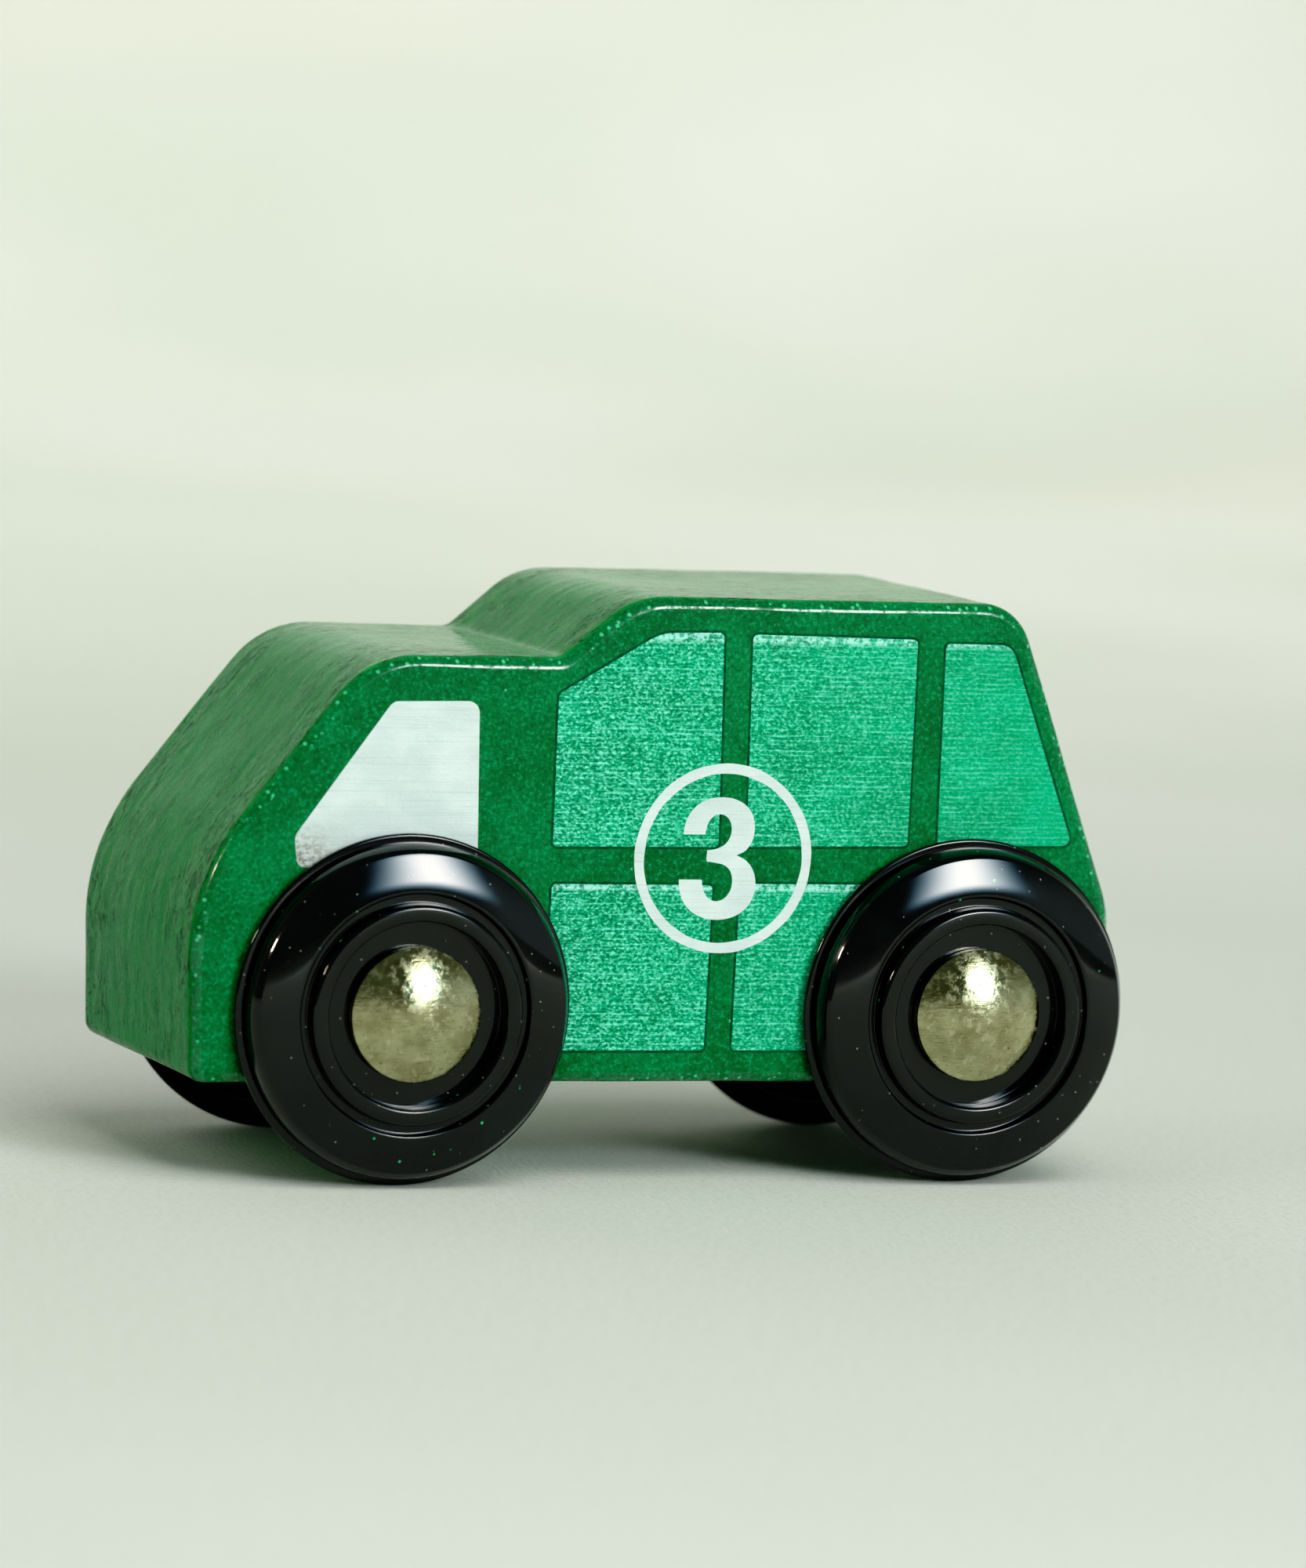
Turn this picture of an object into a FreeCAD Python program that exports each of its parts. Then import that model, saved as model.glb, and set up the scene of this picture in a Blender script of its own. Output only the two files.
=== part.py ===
import FreeCAD, Part
import math
import os
import Sketcher

# Small wooden pull-back car: a block body, four moulded wheels with metal caps,
# and a spring motor in a pocket in the underside.
# Frame: +X is the car's front, +Y its left side, +Z up. The origin is on the
# ground, under the middle of the car's bounding box. Millimetres.

Vector = FreeCAD.Vector
doc = FreeCAD.newDocument("pull_back_car")
sheet = doc.addObject("Spreadsheet::Sheet", "Dims")
sheet.Label = "Dims"


class Quantity:
    """A size with its value and the spreadsheet expression that gives it."""

    def __init__(self, value, text):
        self.value = float(value)
        self.text = text

    def __add__(self, other):
        other = as_quantity(other)
        return Quantity(self.value + other.value, "(%s + %s)" % (self.text, other.text))

    def __sub__(self, other):
        other = as_quantity(other)
        return Quantity(self.value - other.value, "(%s - %s)" % (self.text, other.text))

    def __mul__(self, other):
        other = as_quantity(other)
        return Quantity(self.value * other.value, "(%s * %s)" % (self.text, other.text))

    __rmul__ = __mul__

    def __truediv__(self, other):
        other = as_quantity(other)
        return Quantity(self.value / other.value, "(%s / %s)" % (self.text, other.text))

    def __neg__(self):
        return Quantity(-self.value, "(0 - %s)" % self.text)


def as_quantity(value):
    if isinstance(value, Quantity):
        return value
    return Quantity(value, "(%.6f)" % value if value < 0 else "%.6f" % value)


sheet_rows = []


def dim(alias, value, note):
    """Add a driving dimension to the next row of the sheet."""
    sheet_rows.append(alias)
    row = len(sheet_rows)
    sheet.set("A%d" % row, note)
    sheet.set("B%d" % row, "%.6f" % value)
    sheet.setAlias("B%d" % row, alias)
    return Quantity(value, "Dims.%s" % alias)


# ---------------------------------------------------------------- dimensions
body_width = dim("body_width", 23.4, "wooden block, thickness across the car")
bottom_z = dim("bottom_z", 6.5, "underside height over the ground")
roof_z = dim("roof_z", 38.65, "roof height over the ground")
hood_z = dim("hood_z", 34.55, "hood height over the ground")
nose_x = dim("nose_x", 32.4, "bottom of the nose")
bulge_x = dim("bulge_x", 33.05, "nose corner before rounding, along the car")
bulge_z = dim("bulge_z", 19.5, "nose corner before rounding, height")
hood_x = dim("hood_x", 21.35, "front of the hood before rounding")
screen_x = dim("screen_x", 8.15, "foot of the windscreen")
roof_front_x = dim("roof_front_x", 3.3, "front of the roof before rounding")
roof_rear_x = dim("roof_rear_x", -24.2, "rear of the roof before rounding")
tail_x = dim("tail_x", -32.05, "rear face")
tail_z = dim("tail_z", 18.2, "height where the rear face starts to lean")
nose_round = dim("nose_round", 15.0, "nose rounding")
hood_round = dim("hood_round", 7.0, "hood front rounding")
screen_round = dim("screen_round", 1.4, "windscreen foot rounding")
roof_round = dim("roof_round", 6.0, "roof front rounding")
roof_tail_round = dim("roof_tail_round", 3.8, "roof rear rounding")
tail_round = dim("tail_round", 8.0, "rear face rounding")
sill_round = dim("sill_round", 1.1, "bottom corner rounding")
edge_round = dim("edge_round", 0.9, "sanded edge rounding along both sides")

front_x = dim("front_x", 18.35, "front axle, along the car")
rear_x = dim("rear_x", -21.3, "rear axle, along the car")
axle_z = dim("axle_z", 11.5, "axle height: the flange radius")
axle_radius = dim("axle_radius", 1.0, "steel axle radius")
running = dim("running", 0.05, "radial clearance of a running fit")
axle_half = dim("axle_half", 15.3, "half length of an axle")
channel_half = dim("channel_half", 1.3, "rear axle channel, half width")

# motor pocket in the underside
pocket_half = dim("pocket_half", 6.15, "motor pocket, half width")
pocket_rear = dim("pocket_rear", -27.4, "motor pocket, rear wall")
pocket_front = dim("pocket_front", -6.4, "motor pocket, front wall")
pocket_top = dim("pocket_top", 27.4, "motor pocket, roof")
pocket_knee_x = dim("pocket_knee_x", -21.6, "motor pocket, slope top")
pocket_knee_z = dim("pocket_knee_z", 20.5, "motor pocket, slope foot")
tab_top = dim("tab_top", 8.25, "motor tab, upper face")
tab_thick = dim("tab_thick", 0.9, "motor tab, thickness")
tab_half = dim("tab_half", 2.4, "motor tab, half width")
tab_front = dim("tab_front", -2.3, "front tab, end")
tab_rear = dim("tab_rear", -30.4, "rear tab, end")
tab_screw_front = dim("tab_screw_front", -4.2, "front mounting screw")
tab_screw_rear = dim("tab_screw_rear", -28.9, "rear mounting screw")
mount_shank = dim("mount_shank", 0.8, "mounting screw, shank radius")
mount_head = dim("mount_head", 1.5, "mounting screw, head radius")
mount_length = dim("mount_length", 4.9, "mounting screw, shank length")
head_height = dim("head_height", 0.7, "mounting screw, head height")

# motor case
case_half = dim("case_half", 6.0, "motor case, half width")
case_wall = dim("case_wall", 0.9, "motor case, wall")
case_bottom = dim("case_bottom", 6.7, "motor case, underside")
case_fit = dim("case_fit", 0.2, "gap between case and pocket")
boss_radius = dim("boss_radius", 1.35, "case screw boss radius")
case_shank = dim("case_shank", 0.6, "case screw, shank radius")
case_head = dim("case_head", 1.1, "case screw, head radius")

# gear train
gear_module = dim("gear_module", 0.4, "gear module")
pinion_teeth = dim("pinion_teeth", 10, "axle pinion teeth")
transfer_large = dim("transfer_large", 20, "transfer gear, large wheel teeth")
transfer_small = dim("transfer_small", 8, "transfer gear, small wheel teeth")
spring_teeth = dim("spring_teeth", 30, "spring gear teeth")
idler_teeth = dim("idler_teeth", 12, "winding idler teeth")
centre_span = dim("centre_span", 10.7, "axle to spring gear centre distance")
transfer_rise = dim("transfer_rise", 0.65, "transfer gear over the axle height")
slot_travel = dim("slot_travel", 0.90, "travel of the winding idler's shaft")
idler_ease = dim("idler_ease", 0.45, "how far short of full tooth depth the winding idler stops")
idler_phase = dim("idler_phase", 0.4200, "angle of a winding idler tooth at rest, radians")
spring_phase = dim("spring_phase", 0.1020, "angle of a spring gear tooth at rest, radians")
pin_radius = dim("pin_radius", 0.6, "gear pin radius")

# wheels, measured outboard from the body's side face
wheel_gap = dim("wheel_gap", 0.15, "hub boss to body side")
flange_gap = dim("flange_gap", 0.3, "flange to body side")
flange_radius = dim("flange_radius", 11.5, "wheel flange radius")
rim_radius = dim("rim_radius", 11.0, "wheel rim radius")
tread_radius = dim("tread_radius", 10.85, "groove between flange and rim")
face_radius = dim("face_radius", 7.85, "inner edge of the wheel's crowned face")
hub_radius = dim("hub_radius", 7.2, "hub ring radius")
recess_radius = dim("recess_radius", 6.1, "recess in the hub ring")
cap_radius = dim("cap_radius", 4.4, "axle cap radius")
cap_height = dim("cap_height", 1.2, "axle cap dome height")
cap_skirt = dim("cap_skirt", 0.75, "axle cap straight edge")
recess_floor = dim("recess_floor", 2.25, "recess floor, outboard of the body side")

side_y = body_width / 2
running_bore = axle_radius + running
CUT_PAST = 1.0  # how far a cut runs beyond the face it opens


# --------------------------------------------------------- gear train layout
def centre_distance(teeth_a, teeth_b):
    return (teeth_a.value + teeth_b.value) * gear_module.value / 2


def corner_angle(near, far, third):
    """Angle between the sides near and third of a triangle, opposite far."""
    return math.acos((near ** 2 + third ** 2 - far ** 2) / (2 * near * third))


def from_axle(distance, angle):
    return (rear_x.value + distance * math.cos(angle), axle_z.value + distance * math.sin(angle))


axle_transfer = centre_distance(pinion_teeth, transfer_large)
transfer_spring = centre_distance(transfer_small, spring_teeth)
axle_idler = centre_distance(pinion_teeth, idler_teeth)
idler_spring = centre_distance(idler_teeth, spring_teeth)
span = centre_span.value

# directions of the gear centres seen from the rear axle, from +X towards +Z
transfer_angle = math.asin(transfer_rise.value / axle_transfer)
spring_angle = transfer_angle + corner_angle(axle_transfer, transfer_spring, span)
idler_angle = spring_angle + corner_angle(axle_idler, idler_spring, span)
transfer_at = from_axle(axle_transfer, transfer_angle)
spring_at = from_axle(span, spring_angle)
idler_at = from_axle(axle_idler, idler_angle)

# the idler's shaft leaves both gears along the bisector of their lines of centres
leave_x = ((idler_at[0] - rear_x.value) / axle_idler
           + (idler_at[0] - spring_at[0]) / idler_spring)
leave_z = ((idler_at[1] - axle_z.value) / axle_idler
           + (idler_at[1] - spring_at[1]) / idler_spring)
leave_length = math.hypot(leave_x, leave_z)
leave_x, leave_z = leave_x / leave_length, leave_z / leave_length
# it comes in at an angle to both lines of centres, so it stops short of full tooth depth
mesh_at = (idler_at[0] + leave_x * idler_ease.value, idler_at[1] + leave_z * idler_ease.value)
free_at = (mesh_at[0] + leave_x * slot_travel.value, mesh_at[1] + leave_z * slot_travel.value)

transfer_x = dim("transfer_x", transfer_at[0], "transfer gear centre, from the mesh distances")
transfer_z = dim("transfer_z", transfer_at[1], "transfer gear centre, height")
spring_x = dim("spring_x", spring_at[0], "spring gear centre, from the mesh distances")
spring_z = dim("spring_z", spring_at[1], "spring gear centre, height")
mesh_x = dim("mesh_x", mesh_at[0], "winding idler in mesh")
mesh_z = dim("mesh_z", mesh_at[1], "winding idler in mesh, height")
free_x = dim("free_x", free_at[0], "winding idler out of mesh")
free_z = dim("free_z", free_at[1], "winding idler out of mesh, height")
doc.recompute()


# ------------------------------------------------------------ sketch helpers
def new_body(name):
    body = doc.addObject("PartDesign::Body", name)
    body.Label = name
    return body


def new_sketch(body, name, role, offset=None):
    """Sketch on an origin plane. The normal of XZ_Plane points to -Y, so a
    positive offset there lies on the car's right."""
    plane = next(item for item in body.Origin.OriginFeatures if item.Role == role)
    sketch = body.newObject("Sketcher::SketchObject", name)
    sketch.AttachmentSupport = [(plane, "")]
    sketch.MapMode = "FlatFace"
    if offset is not None:
        sketch.AttachmentOffset = FreeCAD.Placement(Vector(0, 0, offset.value),
                                                    FreeCAD.Rotation())
        sketch.setExpression("AttachmentOffset.Base.z", offset.text)
    return sketch


def constrain(sketch, size, kind, *where):
    """Add a dimensional constraint bound to the size."""
    index = sketch.addConstraint(Sketcher.Constraint(kind, *where, size.value))
    sketch.setExpression("Constraints[%d]" % index, size.text)


def fix_point(sketch, edge, point, x, y):
    constrain(sketch, x, "DistanceX", -1, 1, edge, point)
    constrain(sketch, y, "DistanceY", -1, 1, edge, point)


def add_arc(sketch, start, end, radius, bulge):
    """Arc between two corners, bulging left (+1) or right (-1) of its path."""
    start_at = Vector(start[0].value, start[1].value, 0)
    end_at = Vector(end[0].value, end[1].value, 0)
    chord = end_at.sub(start_at)
    left = Vector(-chord.y, chord.x, 0)
    left.normalize()
    reach = math.sqrt(max(radius.value ** 2 - (chord.Length / 2) ** 2, 0.0))
    half_circle = reach < 1e-3
    if half_circle:
        reach = 0.0
    centre = start_at.add(end_at).multiply(0.5).add(left.multiply(-bulge * reach))
    # a sketch arc runs anticlockwise
    first, last = (start_at, end_at) if bulge < 0 else (end_at, start_at)
    first_angle = math.atan2(first.y - centre.y, first.x - centre.x)
    last_angle = math.atan2(last.y - centre.y, last.x - centre.x)
    if last_angle <= first_angle:
        last_angle += 2 * math.pi
    circle = Part.Circle(centre, Vector(0, 0, 1), radius.value)
    edge = sketch.addGeometry(Part.ArcOfCircle(circle, first_angle, last_angle), False)
    if half_circle:
        # its centre is held on the chord, as the ends already give the radius
        axis = 1 if abs(chord.x) > abs(chord.y) else 0
        middle = (start[axis] + end[axis]) / 2
        constrain(sketch, middle, ("DistanceX", "DistanceY")[axis], -1, 1, edge, 3)
    else:
        constrain(sketch, radius, "Radius", edge)
    return (edge, 1, 2) if bulge < 0 else (edge, 2, 1)


def outline(sketch, corners):
    """Closed outline. A corner is (x, y) or (x, y, radius, bulge): the edge
    that leaves it is then an arc, bulging left (+1) or right (-1)."""
    points = [(as_quantity(corner[0]), as_quantity(corner[1])) for corner in corners]
    edges = []  # (edge, number of its start point, number of its end point)
    for i, corner in enumerate(corners):
        start, end = points[i], points[(i + 1) % len(corners)]
        if len(corner) == 2:
            line = Part.LineSegment(Vector(start[0].value, start[1].value, 0),
                                    Vector(end[0].value, end[1].value, 0))
            edges.append((sketch.addGeometry(line, False), 1, 2))
        else:
            edges.append(add_arc(sketch, start, end, as_quantity(corner[2]), corner[3]))
    for i, (edge, start_point, _) in enumerate(edges):
        previous, _, end_point = edges[i - 1]
        sketch.addConstraint(Sketcher.Constraint("Coincident", previous, end_point,
                                                 edge, start_point))
        fix_point(sketch, edge, start_point, *points[i])
    return sketch


def circles(sketch, items):
    """Circles given as (x, y, radius)."""
    for item in items:
        x, y, radius = [as_quantity(number) for number in item]
        circle = Part.Circle(Vector(x.value, y.value, 0), Vector(0, 0, 1), radius.value)
        edge = sketch.addGeometry(circle, False)
        fix_point(sketch, edge, 3, x, y)
        constrain(sketch, radius, "Radius", edge)
    return sketch


# ------------------------------------------------------------- solid helpers
def extrude(body, kind, sketch, length, name, reverse=False):
    """Pad along the sketch's normal or Pocket against it, unless reversed."""
    length = as_quantity(length)
    before = body.Shape.Volume if body.Tip else 0.0
    result = body.newObject("PartDesign::" + kind, name)
    result.Profile = sketch
    result.Length = length.value
    result.setExpression("Length", length.text)
    result.Reversed = reverse
    doc.recompute()
    after = body.Shape.Volume
    if (kind == "Pad") != (after > before + 1e-6):
        raise RuntimeError("%s changed the volume from %.3f to %.3f" % (name, before, after))
    return result


def round_edges(body, base, edge_names, radius, name):
    fillet = body.newObject("PartDesign::Fillet", name)
    fillet.Base = (base, edge_names)
    fillet.Radius = radius.value
    fillet.setExpression("Radius", radius.text)
    doc.recompute()
    return fillet


def place(obj, base, rotation=FreeCAD.Rotation()):
    base = [as_quantity(number) for number in base]
    obj.Placement = FreeCAD.Placement(Vector(*[number.value for number in base]), rotation)
    for axis, number in zip("xyz", base):
        obj.setExpression("Placement.Base." + axis, number.text)


def turned(name, corners, x, z, turn=0.0):
    """A piece turned about its own Y axis. Corners are (along Y, radius).
    A turn of 180 degrees makes a right-hand piece of a left-hand one."""
    body = new_body(name)
    sketch = outline(new_sketch(body, name + "_profile", "YZ_Plane"), corners)
    revolution = body.newObject("PartDesign::Revolution", name + "_turned")
    revolution.Profile = sketch
    revolution.ReferenceAxis = (sketch, ["H_Axis"])
    revolution.Angle = 360.0
    doc.recompute()
    place(body, (x, 0, z), FreeCAD.Rotation(Vector(0, 0, 1), turn))
    return body


def rod(name, half_length, radius, bevel, x, z):
    """Bevelled rod across the car, centred on its middle plane."""
    return turned(name, [
        (-half_length, 0), (half_length, 0), (half_length, radius - bevel),
        (half_length - bevel, radius), (-half_length + bevel, radius),
        (-half_length, radius - bevel)], x, z)


# --------------------------------------------------------------- wooden body
# corners of the side outline: x, z, rounding
BODY_CORNERS = [
    (nose_x, bottom_z, sill_round),
    (bulge_x, bulge_z, nose_round),
    (hood_x, hood_z, hood_round),
    (screen_x, hood_z, screen_round),
    (roof_front_x, roof_z, roof_round),
    (roof_rear_x, roof_z, roof_tail_round),
    (tail_x, tail_z, tail_round),
    (tail_x, bottom_z, sill_round),
]
SEAT_GAP = 0.2      # gap round a tab in its seat
SEAT_OVERLAP = 0.5  # how far a seat's cut reaches into the pocket


def cross_edges(shape, x, z):
    """Names of the edges that run across the car at (x, z)."""
    found = []
    for number, edge in enumerate(shape.Edges, 1):
        ends = [vertex.Point for vertex in edge.Vertexes]
        if len(ends) == 2 and all(abs(end.x - x) < 1e-3 and abs(end.z - z) < 1e-3
                                  for end in ends):
            found.append("Edge%d" % number)
    return found


def side_face_edges(shape):
    """Names of the edges that lie in the two side faces."""
    return ["Edge%d" % number for number, edge in enumerate(shape.Edges, 1)
            if all(abs(abs(vertex.Point.y) - side_y.value) < 1e-4 for vertex in edge.Vertexes)
            and edge.BoundBox.YLength < 1e-4]


def make_rounded_block(wood):
    sketch = new_sketch(wood, "side_outline", "XZ_Plane", -side_y)
    outline(sketch, [(x, z) for x, z, _ in BODY_CORNERS])
    base = extrude(wood, "Pad", sketch, body_width, "block")
    for i, (x, z, radius) in enumerate(BODY_CORNERS):
        found = cross_edges(base.Shape, x.value, z.value)
        if len(found) != 1:
            raise RuntimeError("corner %d has %d edges" % (i, len(found)))
        base = round_edges(wood, base, found, radius, "corner_round_%d" % i)
    round_edges(wood, base, side_face_edges(base.Shape), edge_round, "sanded_edges")


def make_wooden_body():
    wood = new_body("wooden_body")
    make_rounded_block(wood)
    mouth_z = bottom_z - CUT_PAST
    across = body_width + 2 * CUT_PAST

    # motor pocket, open at the underside
    sketch = outline(new_sketch(wood, "pocket_outline", "XZ_Plane", pocket_half), [
        (pocket_rear, mouth_z), (pocket_front, mouth_z), (pocket_front, pocket_top),
        (pocket_knee_x, pocket_top), (pocket_rear, pocket_knee_z)])
    extrude(wood, "Pocket", sketch, pocket_half * 2, "motor_pocket")

    # rear axle channel, open at the underside, right across the block
    channel_rear, channel_front = rear_x - channel_half, rear_x + channel_half
    sketch = outline(new_sketch(wood, "channel_outline", "XZ_Plane", side_y + CUT_PAST), [
        (channel_rear, mouth_z), (channel_front, mouth_z),
        (channel_front, axle_z, channel_half, -1), (channel_rear, axle_z)])
    extrude(wood, "Pocket", sketch, across, "axle_channel")

    sketch = circles(new_sketch(wood, "front_bore_circle", "XZ_Plane", side_y + CUT_PAST),
                     [(front_x, axle_z, running_bore)])
    extrude(wood, "Pocket", sketch, across, "front_axle_bore")

    # shallow seats for the motor's two tabs
    seat_half = tab_half + SEAT_GAP
    for tag, seat_rear, seat_front in (
            ("front", pocket_front - SEAT_OVERLAP, tab_front + SEAT_GAP),
            ("rear", tab_rear - SEAT_GAP, pocket_rear + SEAT_OVERLAP)):
        sketch = outline(new_sketch(wood, tag + "_seat_outline", "XY_Plane", tab_top), [
            (seat_rear, -seat_half), (seat_front, -seat_half),
            (seat_front, seat_half), (seat_rear, seat_half)])
        extrude(wood, "Pocket", sketch, tab_top - mouth_z, tag + "_tab_seat")

    # pilot holes for the mounting screws
    sketch = circles(new_sketch(wood, "pilot_circles", "XY_Plane", tab_top + mount_length),
                     [(tab_screw_front, 0, mount_shank), (tab_screw_rear, 0, mount_shank)])
    extrude(wood, "Pocket", sketch, mount_length + CUT_PAST, "pilot_holes")
    return wood


# ------------------------------------------------------ wheels, caps, axles
def make_wheel(name, x, bore, turn):
    """Moulded wheel: hub tube and web, flange, groove, rounded rim, crowned
    face, step, hub ring with a recess for the axle cap, hollow inboard."""
    boss_y = side_y + wheel_gap
    floor_y = side_y + recess_floor
    ring_y = side_y + 3.6      # outer face of the hub ring
    step_y = side_y + 2.6      # floor of the step between hub ring and face
    flange_y = side_y + flange_gap
    flange_width = 0.42
    flange_edge = 0.18         # rounding of the flange
    recess_edge = 0.25         # rounding of the ring, recess side
    ring_edge = 0.3            # rounding of the ring, outer side
    web_y = side_y + 1.5       # inboard face of the web
    tube_radius = 3.0
    corners = [
        # bore, recess and hub ring
        (boss_y, bore), (floor_y, bore), (floor_y, recess_radius),
        (ring_y - recess_edge, recess_radius, recess_edge, -1),
        (ring_y, recess_radius + recess_edge),
        (ring_y, hub_radius - ring_edge, ring_edge, -1), (ring_y - ring_edge, hub_radius),
        # step, crowned face, rim
        (step_y, hub_radius + 0.08), (step_y, face_radius - 0.05),
        (side_y + 3.0, face_radius, 0.2, -1), (side_y + 3.13, face_radius + 0.17, 12.0, -1),
        (side_y + 2.57, 10.45, 1.8, -1), (side_y + 1.3, rim_radius - 0.03),
        (side_y + 1.1, rim_radius), (side_y + 1.02, rim_radius),
        # groove and flange
        (side_y + 0.96, tread_radius), (side_y + 0.74, tread_radius),
        (flange_y + flange_width, flange_radius - flange_edge, flange_edge, -1),
        (flange_y + (flange_width - flange_edge), flange_radius),
        (flange_y + flange_edge, flange_radius, flange_edge, -1),
        (flange_y, flange_radius - flange_edge),
        # inboard hollow and hub tube
        (flange_y, 9.7), (side_y + 0.7, 9.7), (web_y, 8.4),
        (web_y, tube_radius), (boss_y, tube_radius)]
    return turned(name, corners, x, axle_z, turn)


def make_cap(name, x, turn):
    """Domed metal cap, pressed on the axle's end, in the wheel's recess."""
    floor_gap = 0.05
    bevel = 0.1
    base_y = side_y + recess_floor + floor_gap
    skirt_y = base_y + cap_skirt
    dome_radius = (cap_radius * cap_radius + cap_height * cap_height) / (2 * cap_height)
    corners = [(skirt_y + cap_height, 0), (axle_half, 0), (axle_half, axle_radius),
               (base_y, axle_radius), (base_y, cap_radius - bevel),
               (base_y + bevel, cap_radius), (skirt_y, cap_radius, dome_radius, +1)]
    return turned(name, corners, x, axle_z, turn)


def make_running_gear():
    """Wheels, caps and axles. The front wheels run free, the rear are pressed on."""
    corner_places = [(end + "_" + hand, x, bore, turn)
                     for end, x, bore in (("front", front_x, running_bore),
                                          ("rear", rear_x, axle_radius))
                     for hand, turn in (("left", 0.0), ("right", 180.0))]
    pieces = [make_wheel(tag + "_wheel", x, bore, turn) for tag, x, bore, turn in corner_places]
    pieces += [make_cap(tag + "_axle_cap", x, turn) for tag, x, _, turn in corner_places]
    pieces += [rod(name, axle_half, axle_radius, 0.15, x, axle_z)
               for name, x in (("front_axle", front_x), ("rear_axle", rear_x))]
    return pieces


# -------------------------------------------------------------- gear helpers
PRESSURE_ANGLE = math.radians(25.0)
BACKLASH = 0.05
ADDENDUM, DEDENDUM = 0.9, 1.2  # in modules
FLANK_POINTS = 6
MIN_FOOT = 0.02                # least straight foot of a flank, along the radius

inner_half = case_half.value - case_wall.value  # inside of the case, half width
hub_end = inner_half - 0.2                      # gear hubs end short of the case wall
pin_half = case_half - 0.1
pin_bore = pin_radius.value + running.value
PIN_BEVEL = 0.1
THROUGH = 7.0                                   # half length of a through bore's cutter
WINDING_FACE = (0.2, 2.6)                       # Y range of the spring gear's and idler's teeth


def mesh_phase(direction, teeth_1, phase_1, teeth_2):
    """Tooth phase of gear 2 so that it meshes with gear 1 along a direction."""
    ratio = teeth_1.value / teeth_2.value
    return direction + math.pi + math.pi / teeth_2.value - ratio * (phase_1 - direction)


def interpolated(points):
    curve = Part.BSplineCurve()
    curve.interpolate(points)
    return curve.toShape()


def segment(start, end):
    return Part.LineSegment(start, end).toShape()


def toothed(tooth_count, phase, y_start, y_end):
    """Involute gear about Y between two Y values. Angles run from +X to +Z."""
    teeth = int(tooth_count.value)
    module = gear_module.value
    pitch_radius = teeth * module / 2
    base_radius = pitch_radius * math.cos(PRESSURE_ANGLE)
    tip_radius = pitch_radius + ADDENDUM * module
    root_radius = pitch_radius - DEDENDUM * module
    half_tooth = math.pi / (2 * teeth) - BACKLASH / (2 * pitch_radius)
    half_at_base = half_tooth + math.tan(PRESSURE_ANGLE) - PRESSURE_ANGLE

    def half_angle(radius):
        """Half of a tooth's angular thickness at a radius."""
        roll = math.acos(base_radius / radius)
        return half_at_base - (math.tan(roll) - roll)

    def at(radius, angle):
        return Vector(radius * math.cos(angle), y_start, radius * math.sin(angle))

    flank_start = max(base_radius, root_radius + MIN_FOOT)
    radii = [flank_start + (tip_radius - flank_start) * (k / (FLANK_POINTS - 1.0))
             for k in range(FLANK_POINTS)]
    foot_half = half_angle(flank_start)
    pitch_angle = 2 * math.pi / teeth
    edges = []
    for k in range(teeth):
        centre = phase + k * pitch_angle
        rising = [at(radius, centre - half_angle(radius)) for radius in radii]
        falling = [at(radius, centre + half_angle(radius)) for radius in reversed(radii)]
        foot_start = at(root_radius, centre - foot_half)
        foot_end = at(root_radius, centre + foot_half)
        next_foot = at(root_radius, centre + pitch_angle - foot_half)
        gap_middle = at(root_radius, centre + pitch_angle / 2)
        edges += [
            segment(foot_start, rising[0]),
            interpolated(rising),
            Part.Arc(rising[-1], at(tip_radius, centre), falling[0]).toShape(),
            interpolated(falling),
            segment(falling[-1], foot_end),
            Part.Arc(foot_end, gap_middle, next_foot).toShape()]
    return Part.Face(Part.Wire(edges)).extrude(Vector(0, y_end - y_start, 0))


def drum(radius, y_start, y_end):
    return Part.makeCylinder(radius, y_end - y_start, Vector(0, y_start, 0), Vector(0, 1, 0))


def bored(shape, radius):
    return shape.cut(drum(radius, -THROUGH, THROUGH))


def slab(x_start, x_length, y_start, y_length, thickness):
    """Box on the piece's own Z = 0 plane, half its thickness on each side."""
    return Part.makeBox(x_length, y_length, thickness, Vector(x_start, y_start, -thickness / 2))


def feature(name, shape, x, z):
    obj = doc.addObject("Part::Feature", name)
    obj.Label = name
    if shape.ShapeType == "Compound" and len(shape.Solids) == 1:
        shape = shape.Solids[0]
    obj.Shape = shape
    place(obj, (x, 0, z))
    return obj


# -------------------------------------------------------------- gear pieces
# The idler's and the spring gear's teeth stand so that the idler slides in
# between two teeth of each gear; the transfer gear follows its neighbours.
PINION_PHASE = 0.0
large_phase = mesh_phase(transfer_angle, pinion_teeth, PINION_PHASE, transfer_large)
small_phase = mesh_phase(math.atan2(transfer_at[1] - spring_at[1], transfer_at[0] - spring_at[0]),
                         spring_teeth, spring_phase.value, transfer_small)

SPRING_SLOT_LENGTH = 5.4  # slots that take the ends of the mainspring, along Y


def make_axle_pinion():
    """Pinion pressed on the rear axle, wide enough for both trains."""
    pinion = toothed(pinion_teeth, PINION_PHASE, -0.5, hub_end)
    return feature("axle_pinion", bored(pinion, axle_radius.value), rear_x, axle_z)


def make_transfer_gear():
    """Compound gear: the large wheel meets the pinion, the small one the spring gear."""
    gear = toothed(transfer_large, large_phase, 2.9, 4.7).fuse(
        toothed(transfer_small, small_phase, 0.1, 2.95))
    gear = gear.fuse(drum(1.1, -hub_end, hub_end))
    gear = bored(gear.removeSplitter(), pin_bore)
    return feature("transfer_gear", gear, transfer_x, transfer_z)


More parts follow.
